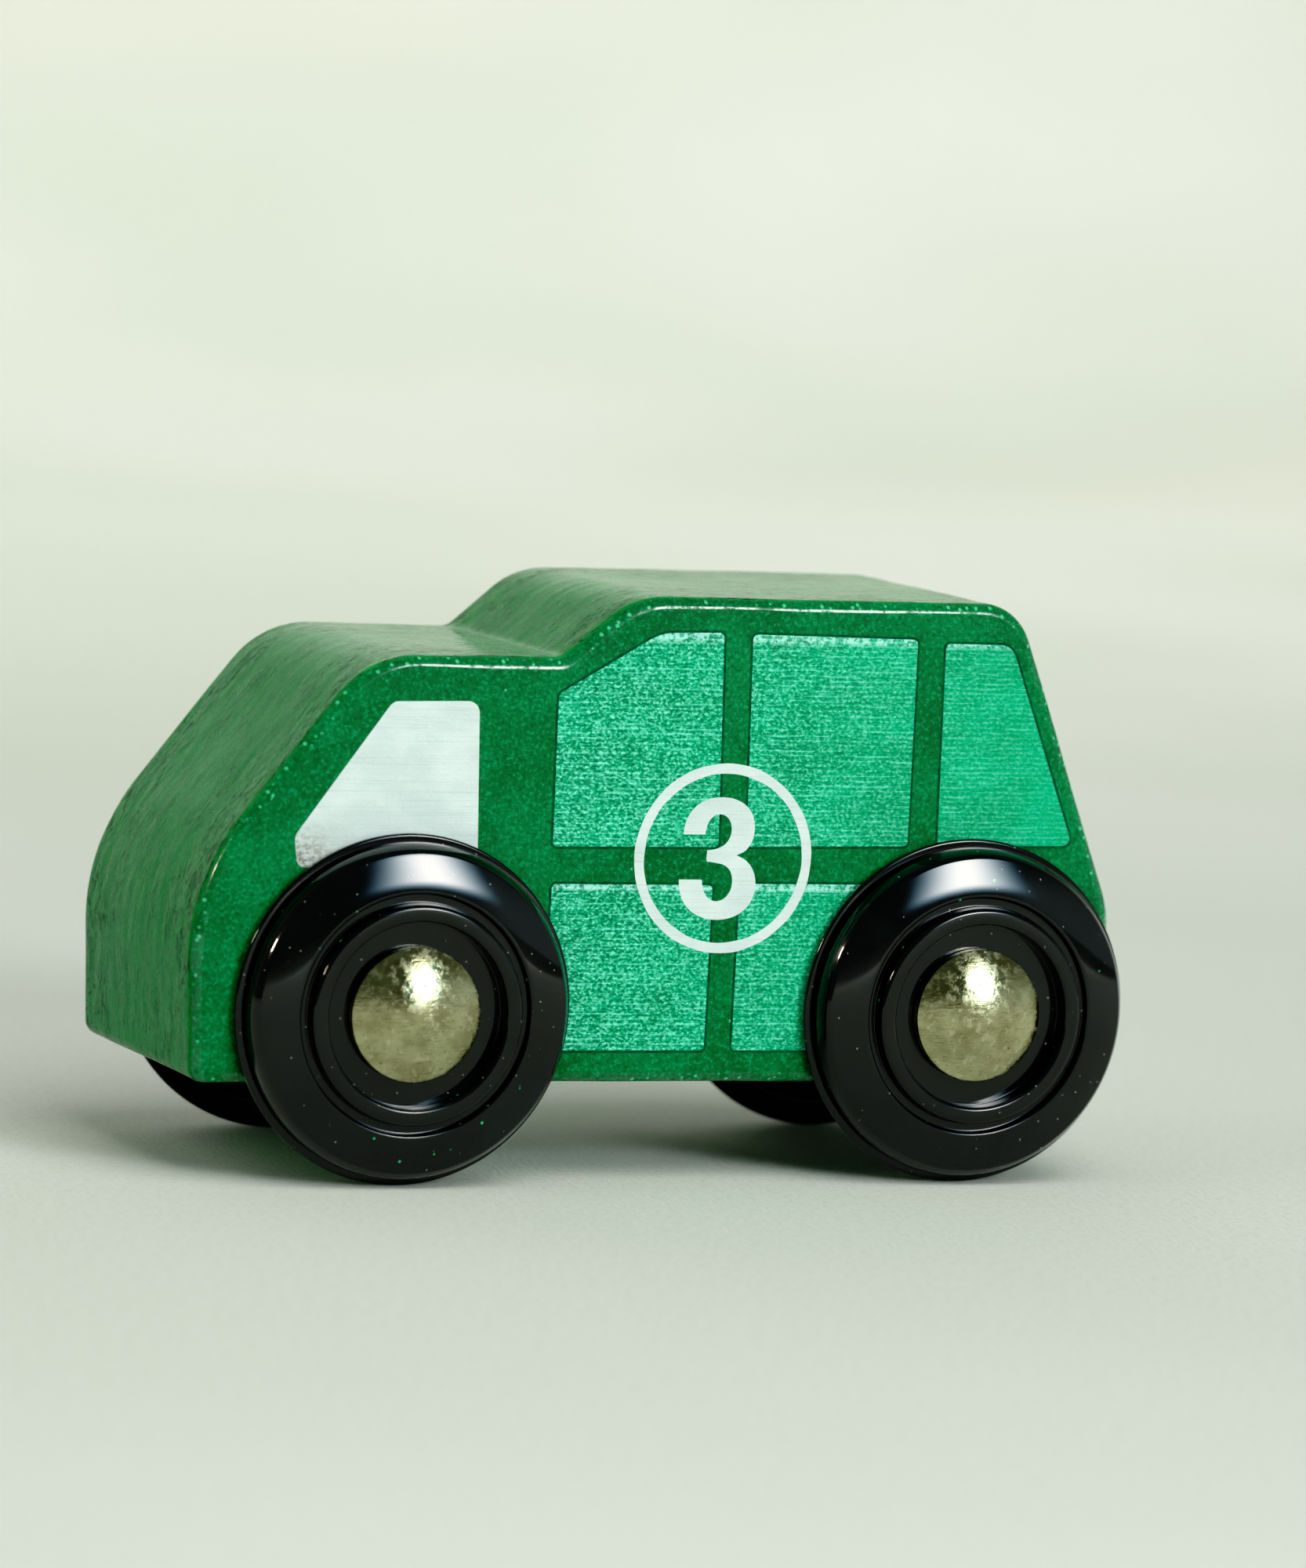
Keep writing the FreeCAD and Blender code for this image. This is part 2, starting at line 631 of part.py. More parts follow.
def make_spring_gear():
    """Toothed rim, web, and a drum open to the right that holds the spring."""
    drum_outer, drum_inner = 5.45, 5.0
    hub = 2.0
    gear = toothed(spring_teeth, spring_phase.value, *WINDING_FACE)
    gear = gear.fuse(drum(drum_outer, -4.8, 0.3))
    gear = gear.fuse(drum(hub, 2.5, hub_end)).removeSplitter()
    gear = bored(gear.cut(drum(drum_inner, -6.0, 1.0)), running_bore.value)
    # slot in the drum wall for the spring's outer end
    gear = gear.cut(slab(4.6, 1.2, -4.9, SPRING_SLOT_LENGTH, 0.4))
    return feature("spring_gear", gear, spring_x, spring_z)


def make_spring_arbor():
    """Fixed arbor: bearing end, spring hub with a hook slot, stub in the case."""
    hub = 1.6
    end_y = case_half.value - 0.1
    radius = axle_radius.value
    arbor = drum(radius, 0.8, end_y).fuse(drum(hub, -inner_half, 0.9))
    arbor = arbor.fuse(drum(radius, -end_y, -inner_half + 0.1)).removeSplitter()
    arbor = arbor.cut(slab(0.5, 2.0, -hub_end, SPRING_SLOT_LENGTH, 0.3))
    return feature("spring_arbor", arbor, spring_x, spring_z)


def make_mainspring():
    """Flat spiral strip, hooked in the arbor and in the drum wall."""
    thickness = 0.14
    turns = 6.0
    points_per_turn = 24
    start_radius, end_radius = 1.86, 4.80
    strip_y, strip_width = -4.5, 5.0

    def spiral(shift):
        points = []
        count = int(turns * points_per_turn)
        for k in range(count + 1):
            angle = 2 * math.pi * turns * k / count
            radius = start_radius + (end_radius - start_radius) * k / count + shift
            points.append(Vector(radius * math.cos(angle), strip_y, radius * math.sin(angle)))
        return points

    outer, inner = spiral(thickness / 2), spiral(-thickness / 2)
    wire = Part.Wire([interpolated(outer), segment(outer[-1], inner[-1]),
                      interpolated(inner), segment(inner[0], outer[0])])
    spring = Part.Face(wire).extrude(Vector(0, strip_width, 0))
    # straight ends: x where each starts, length
    for end_x, end_length in ((0.95, 0.95), (4.78, 0.55)):
        spring = spring.fuse(slab(end_x, end_length, strip_y, strip_width, thickness))
    return feature("mainspring", spring.removeSplitter(), spring_x, spring_z)


def make_winding_idler():
    """Winding idler on its floating shaft, at rest out of mesh."""
    idler = toothed(idler_teeth, idler_phase.value, *WINDING_FACE)
    idler = idler.fuse(drum(1.15, -hub_end, hub_end))
    idler = bored(idler.removeSplitter(), pin_bore)
    return feature("winding_idler", idler, free_x, free_z)


def make_gear_train():
    return [
        make_axle_pinion(),
        make_transfer_gear(),
        rod("transfer_gear_pin", pin_half, pin_radius, PIN_BEVEL, transfer_x, transfer_z),
        make_spring_gear(),
        make_spring_arbor(),
        make_mainspring(),
        make_winding_idler(),
        rod("winding_idler_shaft", pin_half, pin_radius, PIN_BEVEL, free_x, free_z)]


# ---------------------------------------------------------------- motor case
case_rear, case_front = pocket_rear + case_fit, pocket_front - case_fit
case_top = pocket_top - case_fit
case_knee_x, case_knee_z = pocket_knee_x + 0.1, pocket_knee_z - 0.1
# centres of the case screw bosses: x, z
BOSSES = [
    (pocket_front - 1.95, case_bottom + 2.3),
    (pocket_front - 2.0, pocket_top - 2.1),
    (pocket_rear + 1.9, case_bottom + 2.0),
]
BOSS_GAP = 0.05        # bosses stop short of the case's outer face
SCREW_CLEARANCE = 0.05
HEAD_CLEARANCE = 0.1
HEAD_SEAT_DEPTH = 0.75  # seat of a case screw's head, under the left outer face
TAB_BITE = 0.2         # how far a tab's root reaches into the case wall
head_seat_y = case_half - HEAD_SEAT_DEPTH


def boss_circles(radius):
    return [(x, z, radius) for x, z in BOSSES]


def tab_corners(wall, end, sign):
    """Tab outline; its root reaches into the case wall on one half only."""
    root = wall - TAB_BITE * sign
    reach = tab_half * sign
    return [(root, 0), (wall, 0), (wall, -reach), (end, -reach), (end, reach), (root, reach)]


def slot_corners():
    """Slot for the idler's floating shaft, from in mesh to out of mesh."""
    radius = pin_radius + 0.06
    offset_x, offset_z = radius * -leave_z, radius * leave_x
    return [(mesh_x - offset_x, mesh_z - offset_z, radius, +1),
            (mesh_x + offset_x, mesh_z + offset_z),
            (free_x + offset_x, free_z + offset_z, radius, +1),
            (free_x - offset_x, free_z - offset_z)]


def make_case_half(name, sign):
    """One half of the motor case. sign +1 is the left half, -1 the right."""
    body = new_body(name)
    is_left = sign > 0

    def sketch_on(plane, tag, offset=None):
        return new_sketch(body, name + tag, plane, offset)

    def pad_outward(sketch, length, tag):
        extrude(body, "Pad", sketch, length, name + tag, reverse=is_left)

    def cut_outward(sketch, length, tag):
        extrude(body, "Pocket", sketch, length, name + tag, reverse=not is_left)

    sketch = outline(sketch_on("XZ_Plane", "_outer"), [
        (case_rear, case_bottom), (case_front, case_bottom), (case_front, case_top),
        (case_knee_x, case_top), (case_rear, case_knee_z)])
    pad_outward(sketch, case_half, "_block")

    # the factors on the wall keep the sloping wall about as thick as the others
    inside_rear, inside_front = case_rear + case_wall, case_front - case_wall
    inside_bottom, inside_top = case_bottom + case_wall, case_top - case_wall
    sketch = outline(sketch_on("XZ_Plane", "_inner"), [
        (inside_rear, inside_bottom), (inside_front, inside_bottom), (inside_front, inside_top),
        (case_knee_x + case_wall * 0.45, inside_top),
        (inside_rear, case_knee_z - case_wall * 0.38)])
    cut_outward(sketch, case_half - case_wall, "_hollow")

    sketch = circles(sketch_on("XZ_Plane", "_boss_circles"), boss_circles(boss_radius))
    pad_outward(sketch, case_half - BOSS_GAP, "_bosses")

    # mounting tab: the left half carries the front one, the right half the rear
    wall, end, hole_x = ((case_front, tab_front, tab_screw_front) if is_left
                         else (case_rear, tab_rear, tab_screw_rear))
    sketch = outline(sketch_on("XY_Plane", "_tab_outline", tab_top - tab_thick),
                     tab_corners(wall, end, sign))
    extrude(body, "Pad", sketch, tab_thick, name + "_tab")

    # axle bearing, transfer gear pin and arbor holes
    sketch = circles(sketch_on("XZ_Plane", "_bearing_circles"),
                     [(rear_x, axle_z, running_bore), (transfer_x, transfer_z, pin_radius),
                      (spring_x, spring_z, axle_radius)])
    cut_outward(sketch, case_half + CUT_PAST, "_bearing_holes")
    sketch = outline(sketch_on("XZ_Plane", "_slot_outline"), slot_corners())
    cut_outward(sketch, case_half + CUT_PAST, "_shaft_slot")

    # case screws: clearance and head recess on the left, core hole on the right
    hole_radius, hole_depth = ((case_shank + SCREW_CLEARANCE, case_half + CUT_PAST) if is_left
                               else (case_shank, 3.4))
    sketch = circles(sketch_on("XZ_Plane", "_screw_circles"), boss_circles(hole_radius))
    cut_outward(sketch, hole_depth, "_screw_holes")
    if is_left:
        sketch = circles(sketch_on("XZ_Plane", "_head_circles", -head_seat_y),
                         boss_circles(case_head + HEAD_CLEARANCE))
        cut_outward(sketch, 2.0, "_head_recess")

    sketch = circles(sketch_on("XY_Plane", "_tab_circle", tab_top + CUT_PAST),
                     [(hole_x, 0, mount_shank + SCREW_CLEARANCE)])
    extrude(body, "Pocket", sketch, tab_thick + 2 * CUT_PAST, name + "_tab_hole")
    return body


# -------------------------------------------------------------------- screws
POINT_LENGTH = 1.0
POINT_RADIUS = 0.15
CROSS_WIDTH = 0.3
CROSS_SPAN = 1.3      # length of a cross arm, in head radii
CROSS_DEPTH = 0.45    # depth of the cross, in head heights
CROSS_PAST = 0.1      # how far the cross cutter stands out of the head
HEADINGS = {          # way the point looks: unit steps, rotation from +Z
    "+Z": ((0, 0, 1), FreeCAD.Rotation()),
    "-Y": ((0, -1, 0), FreeCAD.Rotation(Vector(1, 0, 0), 90)),
}


def primitive(kind, name, base, rotation, **sizes):
    obj = doc.addObject("Part::" + kind, name)
    for key, size in sizes.items():
        size = as_quantity(size)
        setattr(obj, key, size.value)
        obj.setExpression(key, size.text)
    place(obj, base, rotation)
    return obj


def make_screw(name, base, toward, head_radius, height, shank_radius, length):
    """Pan-head screw with a cross recess. base is where head meets shank."""
    steps, rotation = HEADINGS[toward]

    def along(distance):
        return [as_quantity(start) + distance * step if step else as_quantity(start)
                for start, step in zip(base, steps)]

    straight = length - POINT_LENGTH
    blank = doc.addObject("Part::MultiFuse", name + "_blank")
    blank.Shapes = [
        primitive("Cylinder", name + "_head", along(-height), rotation,
                  Radius=head_radius, Height=height),
        primitive("Cylinder", name + "_shank", base, rotation,
                  Radius=shank_radius, Height=straight),
        primitive("Cone", name + "_tip", along(straight), rotation,
                  Radius1=shank_radius, Radius2=POINT_RADIUS, Height=POINT_LENGTH)]

    arm = head_radius * CROSS_SPAN
    width = as_quantity(CROSS_WIDTH)
    cutters = []
    for tag, size_x, size_y in (("a", arm, width), ("b", width, arm)):
        x, y, z = along(-height - CROSS_PAST)
        # the box's own Y side lies along the car's Z when the screw points to -Y
        if toward == "+Z":
            start = (x - size_x / 2, y - size_y / 2, z)
        else:
            start = (x - size_x / 2, y, z - size_y / 2)
        cutters.append(primitive("Box", name + "_slot_" + tag, start, rotation,
                                 Length=size_x, Width=size_y,
                                 Height=height * CROSS_DEPTH + CROSS_PAST))
    cross = doc.addObject("Part::MultiFuse", name + "_cross")
    cross.Shapes = cutters
    screw = doc.addObject("Part::Cut", name)
    screw.Base, screw.Tool = blank, cross
    return screw


def group(name, members):
    obj = doc.addObject("Part::Compound", name)
    obj.Label = name
    obj.Links = members
    return obj


def make_mounting_screws():
    """Screws that hold the tabs, driven up from the underside."""
    head_gap = 0.01   # between head and tab
    point_gap = 0.2   # between point and the end of the pilot hole
    return group("motor_mounting_screws", [
        make_screw("mounting_screw_" + tag, (x, 0, tab_top - tab_thick - head_gap), "+Z",
                   mount_head, head_height, mount_shank,
                   tab_thick + head_gap + mount_length - point_gap)
        for tag, x in (("front", tab_screw_front), ("rear", tab_screw_rear))])


def make_case_screws():
    """Screws that join the case halves, driven from the left."""
    return group("motor_case_screws", [
        make_screw("case_screw_%d" % i, (x, head_seat_y, z), "-Y",
                   case_head, as_quantity(0.6), case_shank, as_quantity(8.4))
        for i, (x, z) in enumerate(BOSSES)])


# --------------------------------------------------------- build and export
nodes = [make_wooden_body()]
nodes += make_running_gear()
nodes += make_gear_train()
nodes += [
    make_case_half("motor_case_left", +1),
    make_case_half("motor_case_right", -1),
    make_mounting_screws(),
    make_case_screws()]

doc.recompute()
for obj in doc.Objects:
    state = list(obj.State)
    if "Invalid" in state or "Error" in state:
        raise RuntimeError("%s failed: %s" % (obj.Name, state))
os.makedirs("parts", exist_ok=True)
for obj in nodes:
    shape = obj.Shape
    if shape.isNull() or not shape.isValid() or shape.Volume <= 0:
        raise RuntimeError("%s has no valid shape" % obj.Label)
for obj in nodes:
    obj.Shape.exportStep(os.path.join("parts", obj.Label + ".step"))
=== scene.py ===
"""Looks of the pull back car: painted block, printed windows and number, lathe-turned wheels and domed caps.

Lengths in this file are millimetres until they reach a mesh, where they become metres.
Shader coordinates, the stage and the camera are in metres.
The row frame is the CAD frame: +X front, +Y the car's left side, +Z up, ground at z = 0.
"""

import math

import bmesh
import bpy
from mathutils import Matrix, Vector, noise


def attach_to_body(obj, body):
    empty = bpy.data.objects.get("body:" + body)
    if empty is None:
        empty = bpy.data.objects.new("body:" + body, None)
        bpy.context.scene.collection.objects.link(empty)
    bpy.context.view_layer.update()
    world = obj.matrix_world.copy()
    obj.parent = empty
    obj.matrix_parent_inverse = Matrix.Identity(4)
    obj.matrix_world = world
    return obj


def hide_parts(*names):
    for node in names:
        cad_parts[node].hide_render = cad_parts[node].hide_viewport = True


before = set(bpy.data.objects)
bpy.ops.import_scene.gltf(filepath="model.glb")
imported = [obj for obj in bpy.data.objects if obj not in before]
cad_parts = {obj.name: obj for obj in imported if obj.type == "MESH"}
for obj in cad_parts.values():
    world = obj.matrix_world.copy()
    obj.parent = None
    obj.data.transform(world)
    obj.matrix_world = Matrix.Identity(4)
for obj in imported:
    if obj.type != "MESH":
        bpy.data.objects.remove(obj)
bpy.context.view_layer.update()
scene = bpy.context.scene

MM = 0.001

# driving dimensions
HALF_WIDTH = 11.7  # of the wooden body
EDGE = 0.9  # radius of the sanded corner between sides and sawn outline
AXLE_Z = 11.5
FRONT_AXLE_X = 18.35
REAR_AXLE_X = -21.3


# ------------------------------------------------------------------ node trees


class Value:
    """A node output; arithmetic on it adds nodes to its tree."""

    def __init__(self, tree, socket):
        self.tree = tree
        self.socket = socket

    def __add__(self, other):
        return self.tree.math("ADD", self, other)

    def __sub__(self, other):
        return self.tree.math("SUBTRACT", self, other)

    def __mul__(self, other):
        return self.tree.math("MULTIPLY", self, other)

    def __pow__(self, other):
        return self.tree.math("POWER", self, other)

    def __abs__(self):
        return self.tree.math("ABSOLUTE", self)

    def maximum(self, other):
        return self.tree.math("MAXIMUM", self, other)

    def ramp(self, span, out=(0.0, 1.0), smooth=True):
        """Carry the input span onto the output range; a falling span turns it round."""
        return self.tree.value(
            "ShaderNodeMapRange",
            {
                "Value": self,
                "From Min": span[0],
                "From Max": span[1],
                "To Min": out[0],
                "To Max": out[1],
            },
            output="Result",
            interpolation_type="SMOOTHSTEP" if smooth else "LINEAR",
        )

    def toward(self, colour, by):
        """This colour blended towards another by a share of 0 to 1."""
        return self.tree.mix(by, self, colour)


class Tree:
    """A small writer for node trees; place is the coordinate its textures use."""

    def __init__(self, node_tree, source="ShaderNodeTexCoord", output="Object"):
        self.node_tree = node_tree
        node_tree.nodes.clear()
        self.place = self.value(source, output=output)

    def add(self, kind, inputs=None, **props):
        node = self.node_tree.nodes.new(kind)
        for key, setting in props.items():
            setattr(node, key, setting)
        for key, item in (inputs or {}).items():
            socket = node.inputs[key]
            if isinstance(item, Value):
                self.node_tree.links.new(item.socket, socket)
            elif socket.type == "RGBA":
                socket.default_value = (*item, 1.0)
            else:
                socket.default_value = item
        return node

    def value(self, kind, inputs=None, output=0, **props):
        return Value(self, self.add(kind, inputs, **props).outputs[output])

    def math(self, operation, *operands):
        return self.value("ShaderNodeMath", dict(enumerate(operands)), operation=operation)

    def mix(self, by, first, second):
        # 0, 6, 7 and output 2 are the factor and colour sockets of the Mix node
        inputs = {0: by, 6: first, 7: second}
        return self.value("ShaderNodeMix", inputs, output=2, data_type="RGBA")

    def split(self, vector):
        node = self.add("ShaderNodeSeparateXYZ", {"Vector": vector})
        return [Value(self, socket) for socket in node.outputs]

    def scaled(self, mm, shift):
        """The place in cells of mm millimetres (one number or x, y, z), shifted by whole cells or parts."""
        sizes = mm if isinstance(mm, tuple) else (mm,) * 3
        scale = tuple(1 / (size * MM) for size in sizes)
        inputs = {"Vector": self.place, "Location": shift, "Scale": scale}
        return self.value("ShaderNodeMapping", inputs, output="Vector")

    def noise(self, mm, detail=3, rough=0.6, twist=0.0, shift=(0, 0, 0)):
        """Noise of feature size mm; twist distorts it."""
        inputs = {
            "Vector": self.scaled(mm, shift),
            "Scale": 1.0,
            "Detail": detail,
            "Roughness": rough,
            "Distortion": twist,
        }
        return self.value("ShaderNodeTexNoise", inputs)

    def voronoi(self, cell, output="Distance"):
        inputs = {"Vector": cell, "Scale": 1.0}
        return self.value("ShaderNodeTexVoronoi", inputs, output=output, feature="F1")

    def spots(self, mm, shift, radius, channel, share):
        """Round spots, one to a cell, and the cells chosen to show them by a random colour channel."""
        cell = self.scaled(mm, shift)
        near = self.voronoi(cell).ramp(radius)
        chosen = self.split(self.voronoi(cell, "Color"))[channel].ramp(share)
        return near, chosen

    def bump(self, height, mm, over=None):
        """A bump mm deep, on top of an earlier normal if there is one."""
        inputs = {"Height": height, "Distance": mm * MM, "Strength": 1.0}
        if over is not None:
            inputs["Normal"] = over
        return self.value("ShaderNodeBump", inputs, output="Normal")

    def finish(self, target, shader, **inputs):
        """Send one shader to the output of a Material, Light or World."""
        names = {key.replace("_", " "): item for key, item in inputs.items()}
        surface = self.value("ShaderNode" + shader, names)
        self.add("ShaderNodeOutput" + target, {"Surface": surface})


class Surface(Tree):
    """The node tree of a new material."""

    def __init__(self, name):
        self.material = bpy.data.materials.new(name)
        self.material.use_nodes = True
        super().__init__(self.material.node_tree)

    def surface(self, **inputs):
        self.finish("Material", "BsdfPrincipled", **inputs)
        return self.material


def rgb(*display):
    """An 8-bit display colour as a linear one."""
    parts = [c / 255 for c in display]
    return tuple(c / 12.92 if c <= 0.04045 else ((c + 0.055) / 1.055) ** 2.4 for c in parts)


# ------------------------------------------------------------------ materials


def paint_material():
    """Green enamel brushed over sanded wood: smooth sides, streaky sawn faces, dust in the film."""
    tree = Surface("body_paint")
    normal = tree.value("ShaderNodeTexCoord", output="Normal")
    # side is 1 on the flat sides; belt marks the sawn outline, corner the round between them
    side = abs(tree.split(normal)[1])
    belt = side.ramp(span=(0.62, 0.22))
    corner = side.ramp(span=(0.999, 0.985)) * side.ramp(span=(0.3, 0.6))
    mottle = tree.noise(mm=5.0, rough=0.55)
    fine = tree.noise(mm=0.24, rough=0.65)
    pebble = tree.noise(mm=0.55, detail=2, rough=0.55, shift=(1, 8, 3))
    # mottled green with light and dark grain, brighter on the belt
    colour = tree.mix(mottle.ramp(span=(0.3, 0.7)), rgb(0, 92, 46), rgb(0, 112, 60))
    colour = colour.toward(rgb(0, 156, 98), by=fine.ramp(span=(0.52, 0.7), out=(0, 0.6)))
    colour = colour.toward(rgb(0, 60, 32), by=fine.ramp(span=(0.47, 0.32), out=(0, 0.65)))
    colour = colour.toward(rgb(2, 140, 64), by=belt * 0.75)
    # brush and saw streaks follow the sawn outline and change quickly across the width
    across = tree.split(tree.place)[1]
    outer = abs(across).ramp(span=(0.001, 0.0100), out=(0.3, 1.0))
    streak = tree.noise(mm=(2.4, 0.85, 2.4), detail=5, rough=0.62, twist=0.8)
    streak_fine = tree.noise(mm=(1.2, 0.26, 1.2), rough=0.55, twist=0.8, shift=(4, 9, 2))
    crack = tree.noise(mm=(1.0, 0.3, 1.0), detail=4, rough=0.66, twist=1.3, shift=(7, 3, 1))
    patch = tree.noise(mm=(5.5, 3.6, 5.5), rough=0.55, shift=(2, 7, 5))
    patchy = patch.ramp(span=(0.4, 0.58), out=(0.25, 1.0)) * outer
    light = streak.ramp(span=(0.46, 0.68)) * (belt * patchy)
    colour = colour.toward(rgb(110, 158, 84), by=light * 0.08)
    blotch = tree.noise(mm=(3.4, 2.4, 3.4), shift=(5, 5, 1)).ramp(span=(0.38, 0.62))
    colour = colour.toward(rgb(0, 92, 48), by=blotch * (belt * 0.25))
    # cracks darkened with painted shade, pale ridges beside them as a painted highlight, and fine grooves
    cracked_patches = belt * patchy
    dark = crack.ramp(span=(0.48, 0.42)) * cracked_patches
    colour = colour.toward(rgb(0, 44, 26), by=dark * 0.85)
    ridge = crack.ramp(span=(0.53, 0.58)) * cracked_patches
    colour = colour.toward(rgb(90, 170, 100), by=ridge * 0.14)
    groove = streak_fine.ramp(span=(0.42, 0.3)) * (belt * outer)
    colour = colour.toward(rgb(0, 64, 34), by=groove * 0.35)
    # dust specks caught in the film, and painted glints: bright spots along the sanded corners that stand in
    # for highlights
    near, chosen = tree.spots(
        mm=1.9, shift=(3.3, 1.1, 6.2), radius=(0.075, 0.03), channel=0, share=(0.62, 0.7)
    )
    specks = near * chosen
    near, chosen = tree.spots(
        mm=(0.5, 0.8, 0.5), shift=(0.4, 5.5, 2.6), radius=(0.34, 0.16), channel=1, share=(0.55, 0.65)
    )
    corner_glints = near * (chosen * corner)
    # painted highlight: from here the specks also carry the corner glints, in colour and in relief
    specks = specks.maximum(corner_glints * 0.8)
    colour = colour.toward(rgb(90, 220, 160), by=specks * 0.75)
    rough = fine.ramp(span=(0.3, 0.7), out=(0.2, 0.3)) + streak.ramp(span=(0.4, 0.7)) * (belt * 0.12)
    # the coat shines at glancing angles and, in broken patches, along the corners
    facing = tree.value("ShaderNodeLayerWeight", {"Blend": 0.5}, output="Facing")
    glancing = facing.ramp(span=(0.57, 0.93), out=(0.02, 0.52)) * streak.ramp(
        span=(0.36, 0.6), out=(0.8, 1.0)
    )
    broken = tree.noise(mm=0.8, detail=4, rough=0.7, shift=(9, 2, 4))
    broken = broken.ramp(span=(0.42, 0.5), out=(0.1, 1.0))
    # relief: pebbling everywhere, streaks and cracks on the belt only
    height = pebble * 0.45 + (
        streak * 1.1 + streak_fine * 0.6 + crack.ramp(span=(0.35, 0.46)) * (patchy * 1.5)
    ) * belt
    bump = tree.bump(height, mm=0.06)
    bump = tree.bump(fine + specks, mm=0.022, over=bump)
    return tree.surface(
        Base_Color=colour,
        Roughness=rough,
        IOR=1.5,
        Specular_IOR_Level=belt.ramp(span=(0, 0.6), out=(0.16, 0.05)),
        Coat_Weight=(
            side.ramp(span=(0.9995, 0.985), out=(0.3, 1.0))
            * glancing
            * dark.ramp(span=(0, 1), out=(1.0, 0.2))
        ).maximum(corner * broken),
        Coat_Roughness=corner.ramp(span=(0, 1), out=(0.05, 0.13)),
        Normal=bump,
    )


def raw_wood_material():
    """Unpainted wood inside the pocket and the bores."""
    tree = Surface("cut_wood")
    ring = tree.noise(mm=(14.0, 1.1, 1.3), detail=4, twist=0.6)
    pore = tree.noise(mm=(2.6, 0.16, 0.16))
    colour = tree.mix(ring.ramp(span=(0.35, 0.65)), rgb(196, 160, 112), rgb(168, 128, 82))
    colour = colour.toward(rgb(112, 80, 48), by=pore.ramp(span=(0.45, 0.25), out=(0, 0.5)))
    return tree.surface(
        Base_Color=colour,
        Roughness=0.72,
        Normal=tree.bump(ring + pore, mm=0.03),
    )


def green_print_material():
    """Satin ink: fine squeegee lines along the car and a pale sparkle painted into the colour as a
    highlight, fading towards the tail.
    """
    tree = Surface("print_green")
    x, _, z = tree.split(tree.place)
    ahead = x.ramp(span=(-0.030, 0.006), out=(0.12, 1.0), smooth=False)
    blot = tree.noise(mm=(4.5, 9.0, 3.0))
    grain = tree.noise(mm=(0.23, 9.0, 0.17), detail=2)
    lines = tree.noise(mm=(2.4, 9.0, 0.3), detail=2, rough=0.5, shift=(7, 0, 3))
    # rows 0.33 mm apart in height, made wavy by the lines
    rows_per_metre = 1 / 0.00033
    wire = tree.math("SINE", z * (2 * math.pi * rows_per_metre) + lines * 5.0)
    row = wire.ramp(span=(-0.1, 0.95))
    colour = tree.mix(blot.ramp(span=(0.3, 0.7)), rgb(0, 150, 98), rgb(0, 168, 116))
    # dark grain, pale painted sparkle (a painted highlight), then pale rows
    colour = colour.toward(
        rgb(0, 96, 58), by=grain.ramp(span=(0.5, 0.36)) * ahead.ramp(span=(0, 1), out=(0.15, 0.8))
    )
    # painted highlight: pale sparkle put into the colour, strongest towards the nose
    painted_sparkle = grain.ramp(span=(0.51, 0.6)) * (ahead * row.ramp(span=(0, 1), out=(0.45, 1.0)))
    colour = colour.toward(rgb(140, 240, 214), by=painted_sparkle * 0.8)
    thin = row * lines.ramp(span=(0.5, 0.62), out=(0.1, 1.0))
    colour = colour.toward(rgb(110, 232, 200), by=thin * ahead.ramp(span=(0, 1), out=(0.22, 0.4)))
    # a ragged painted highlight along the top edges of the windows and of the lower panels
    top_edge_highlight = z.ramp(span=(0.0355, 0.0359)).maximum(
        z.ramp(span=(0.0192, 0.0194)) * z.ramp(span=(0.0202, 0.0200))
    )
    ragged = tree.noise(mm=(0.3, 9.0, 0.3), detail=2, shift=(2, 0, 6))
    colour = colour.toward(
        rgb(170, 240, 224), by=top_edge_highlight * ragged.ramp(span=(0.42, 0.58), out=(0.05, 0.75))
    )
    relief = (grain + row * 0.25) * ahead.ramp(span=(0, 1), out=(0.35, 1.0))
    return tree.surface(
        Base_Color=colour,
        Roughness=grain.ramp(span=(0.3, 0.7), out=(0.16, 0.28)),
        Specular_IOR_Level=0.12,
        Normal=tree.bump(relief, mm=0.08),
    )


def rim_print_material():
    """The darker, slightly blue edge where the ink of a panel has bled into the paint."""
    tree = Surface("print_rim")
    bleed = tree.noise(mm=0.5)
    colour = tree.mix(bleed.ramp(span=(0.35, 0.65)), rgb(0, 58, 40), rgb(0, 84, 52))
    return tree.surface(
        Base_Color=colour,
        Roughness=bleed.ramp(span=(0.3, 0.7), out=(0.35, 0.5)),
        Specular_IOR_Level=0.1,
        Normal=tree.bump(bleed, mm=0.01),
    )


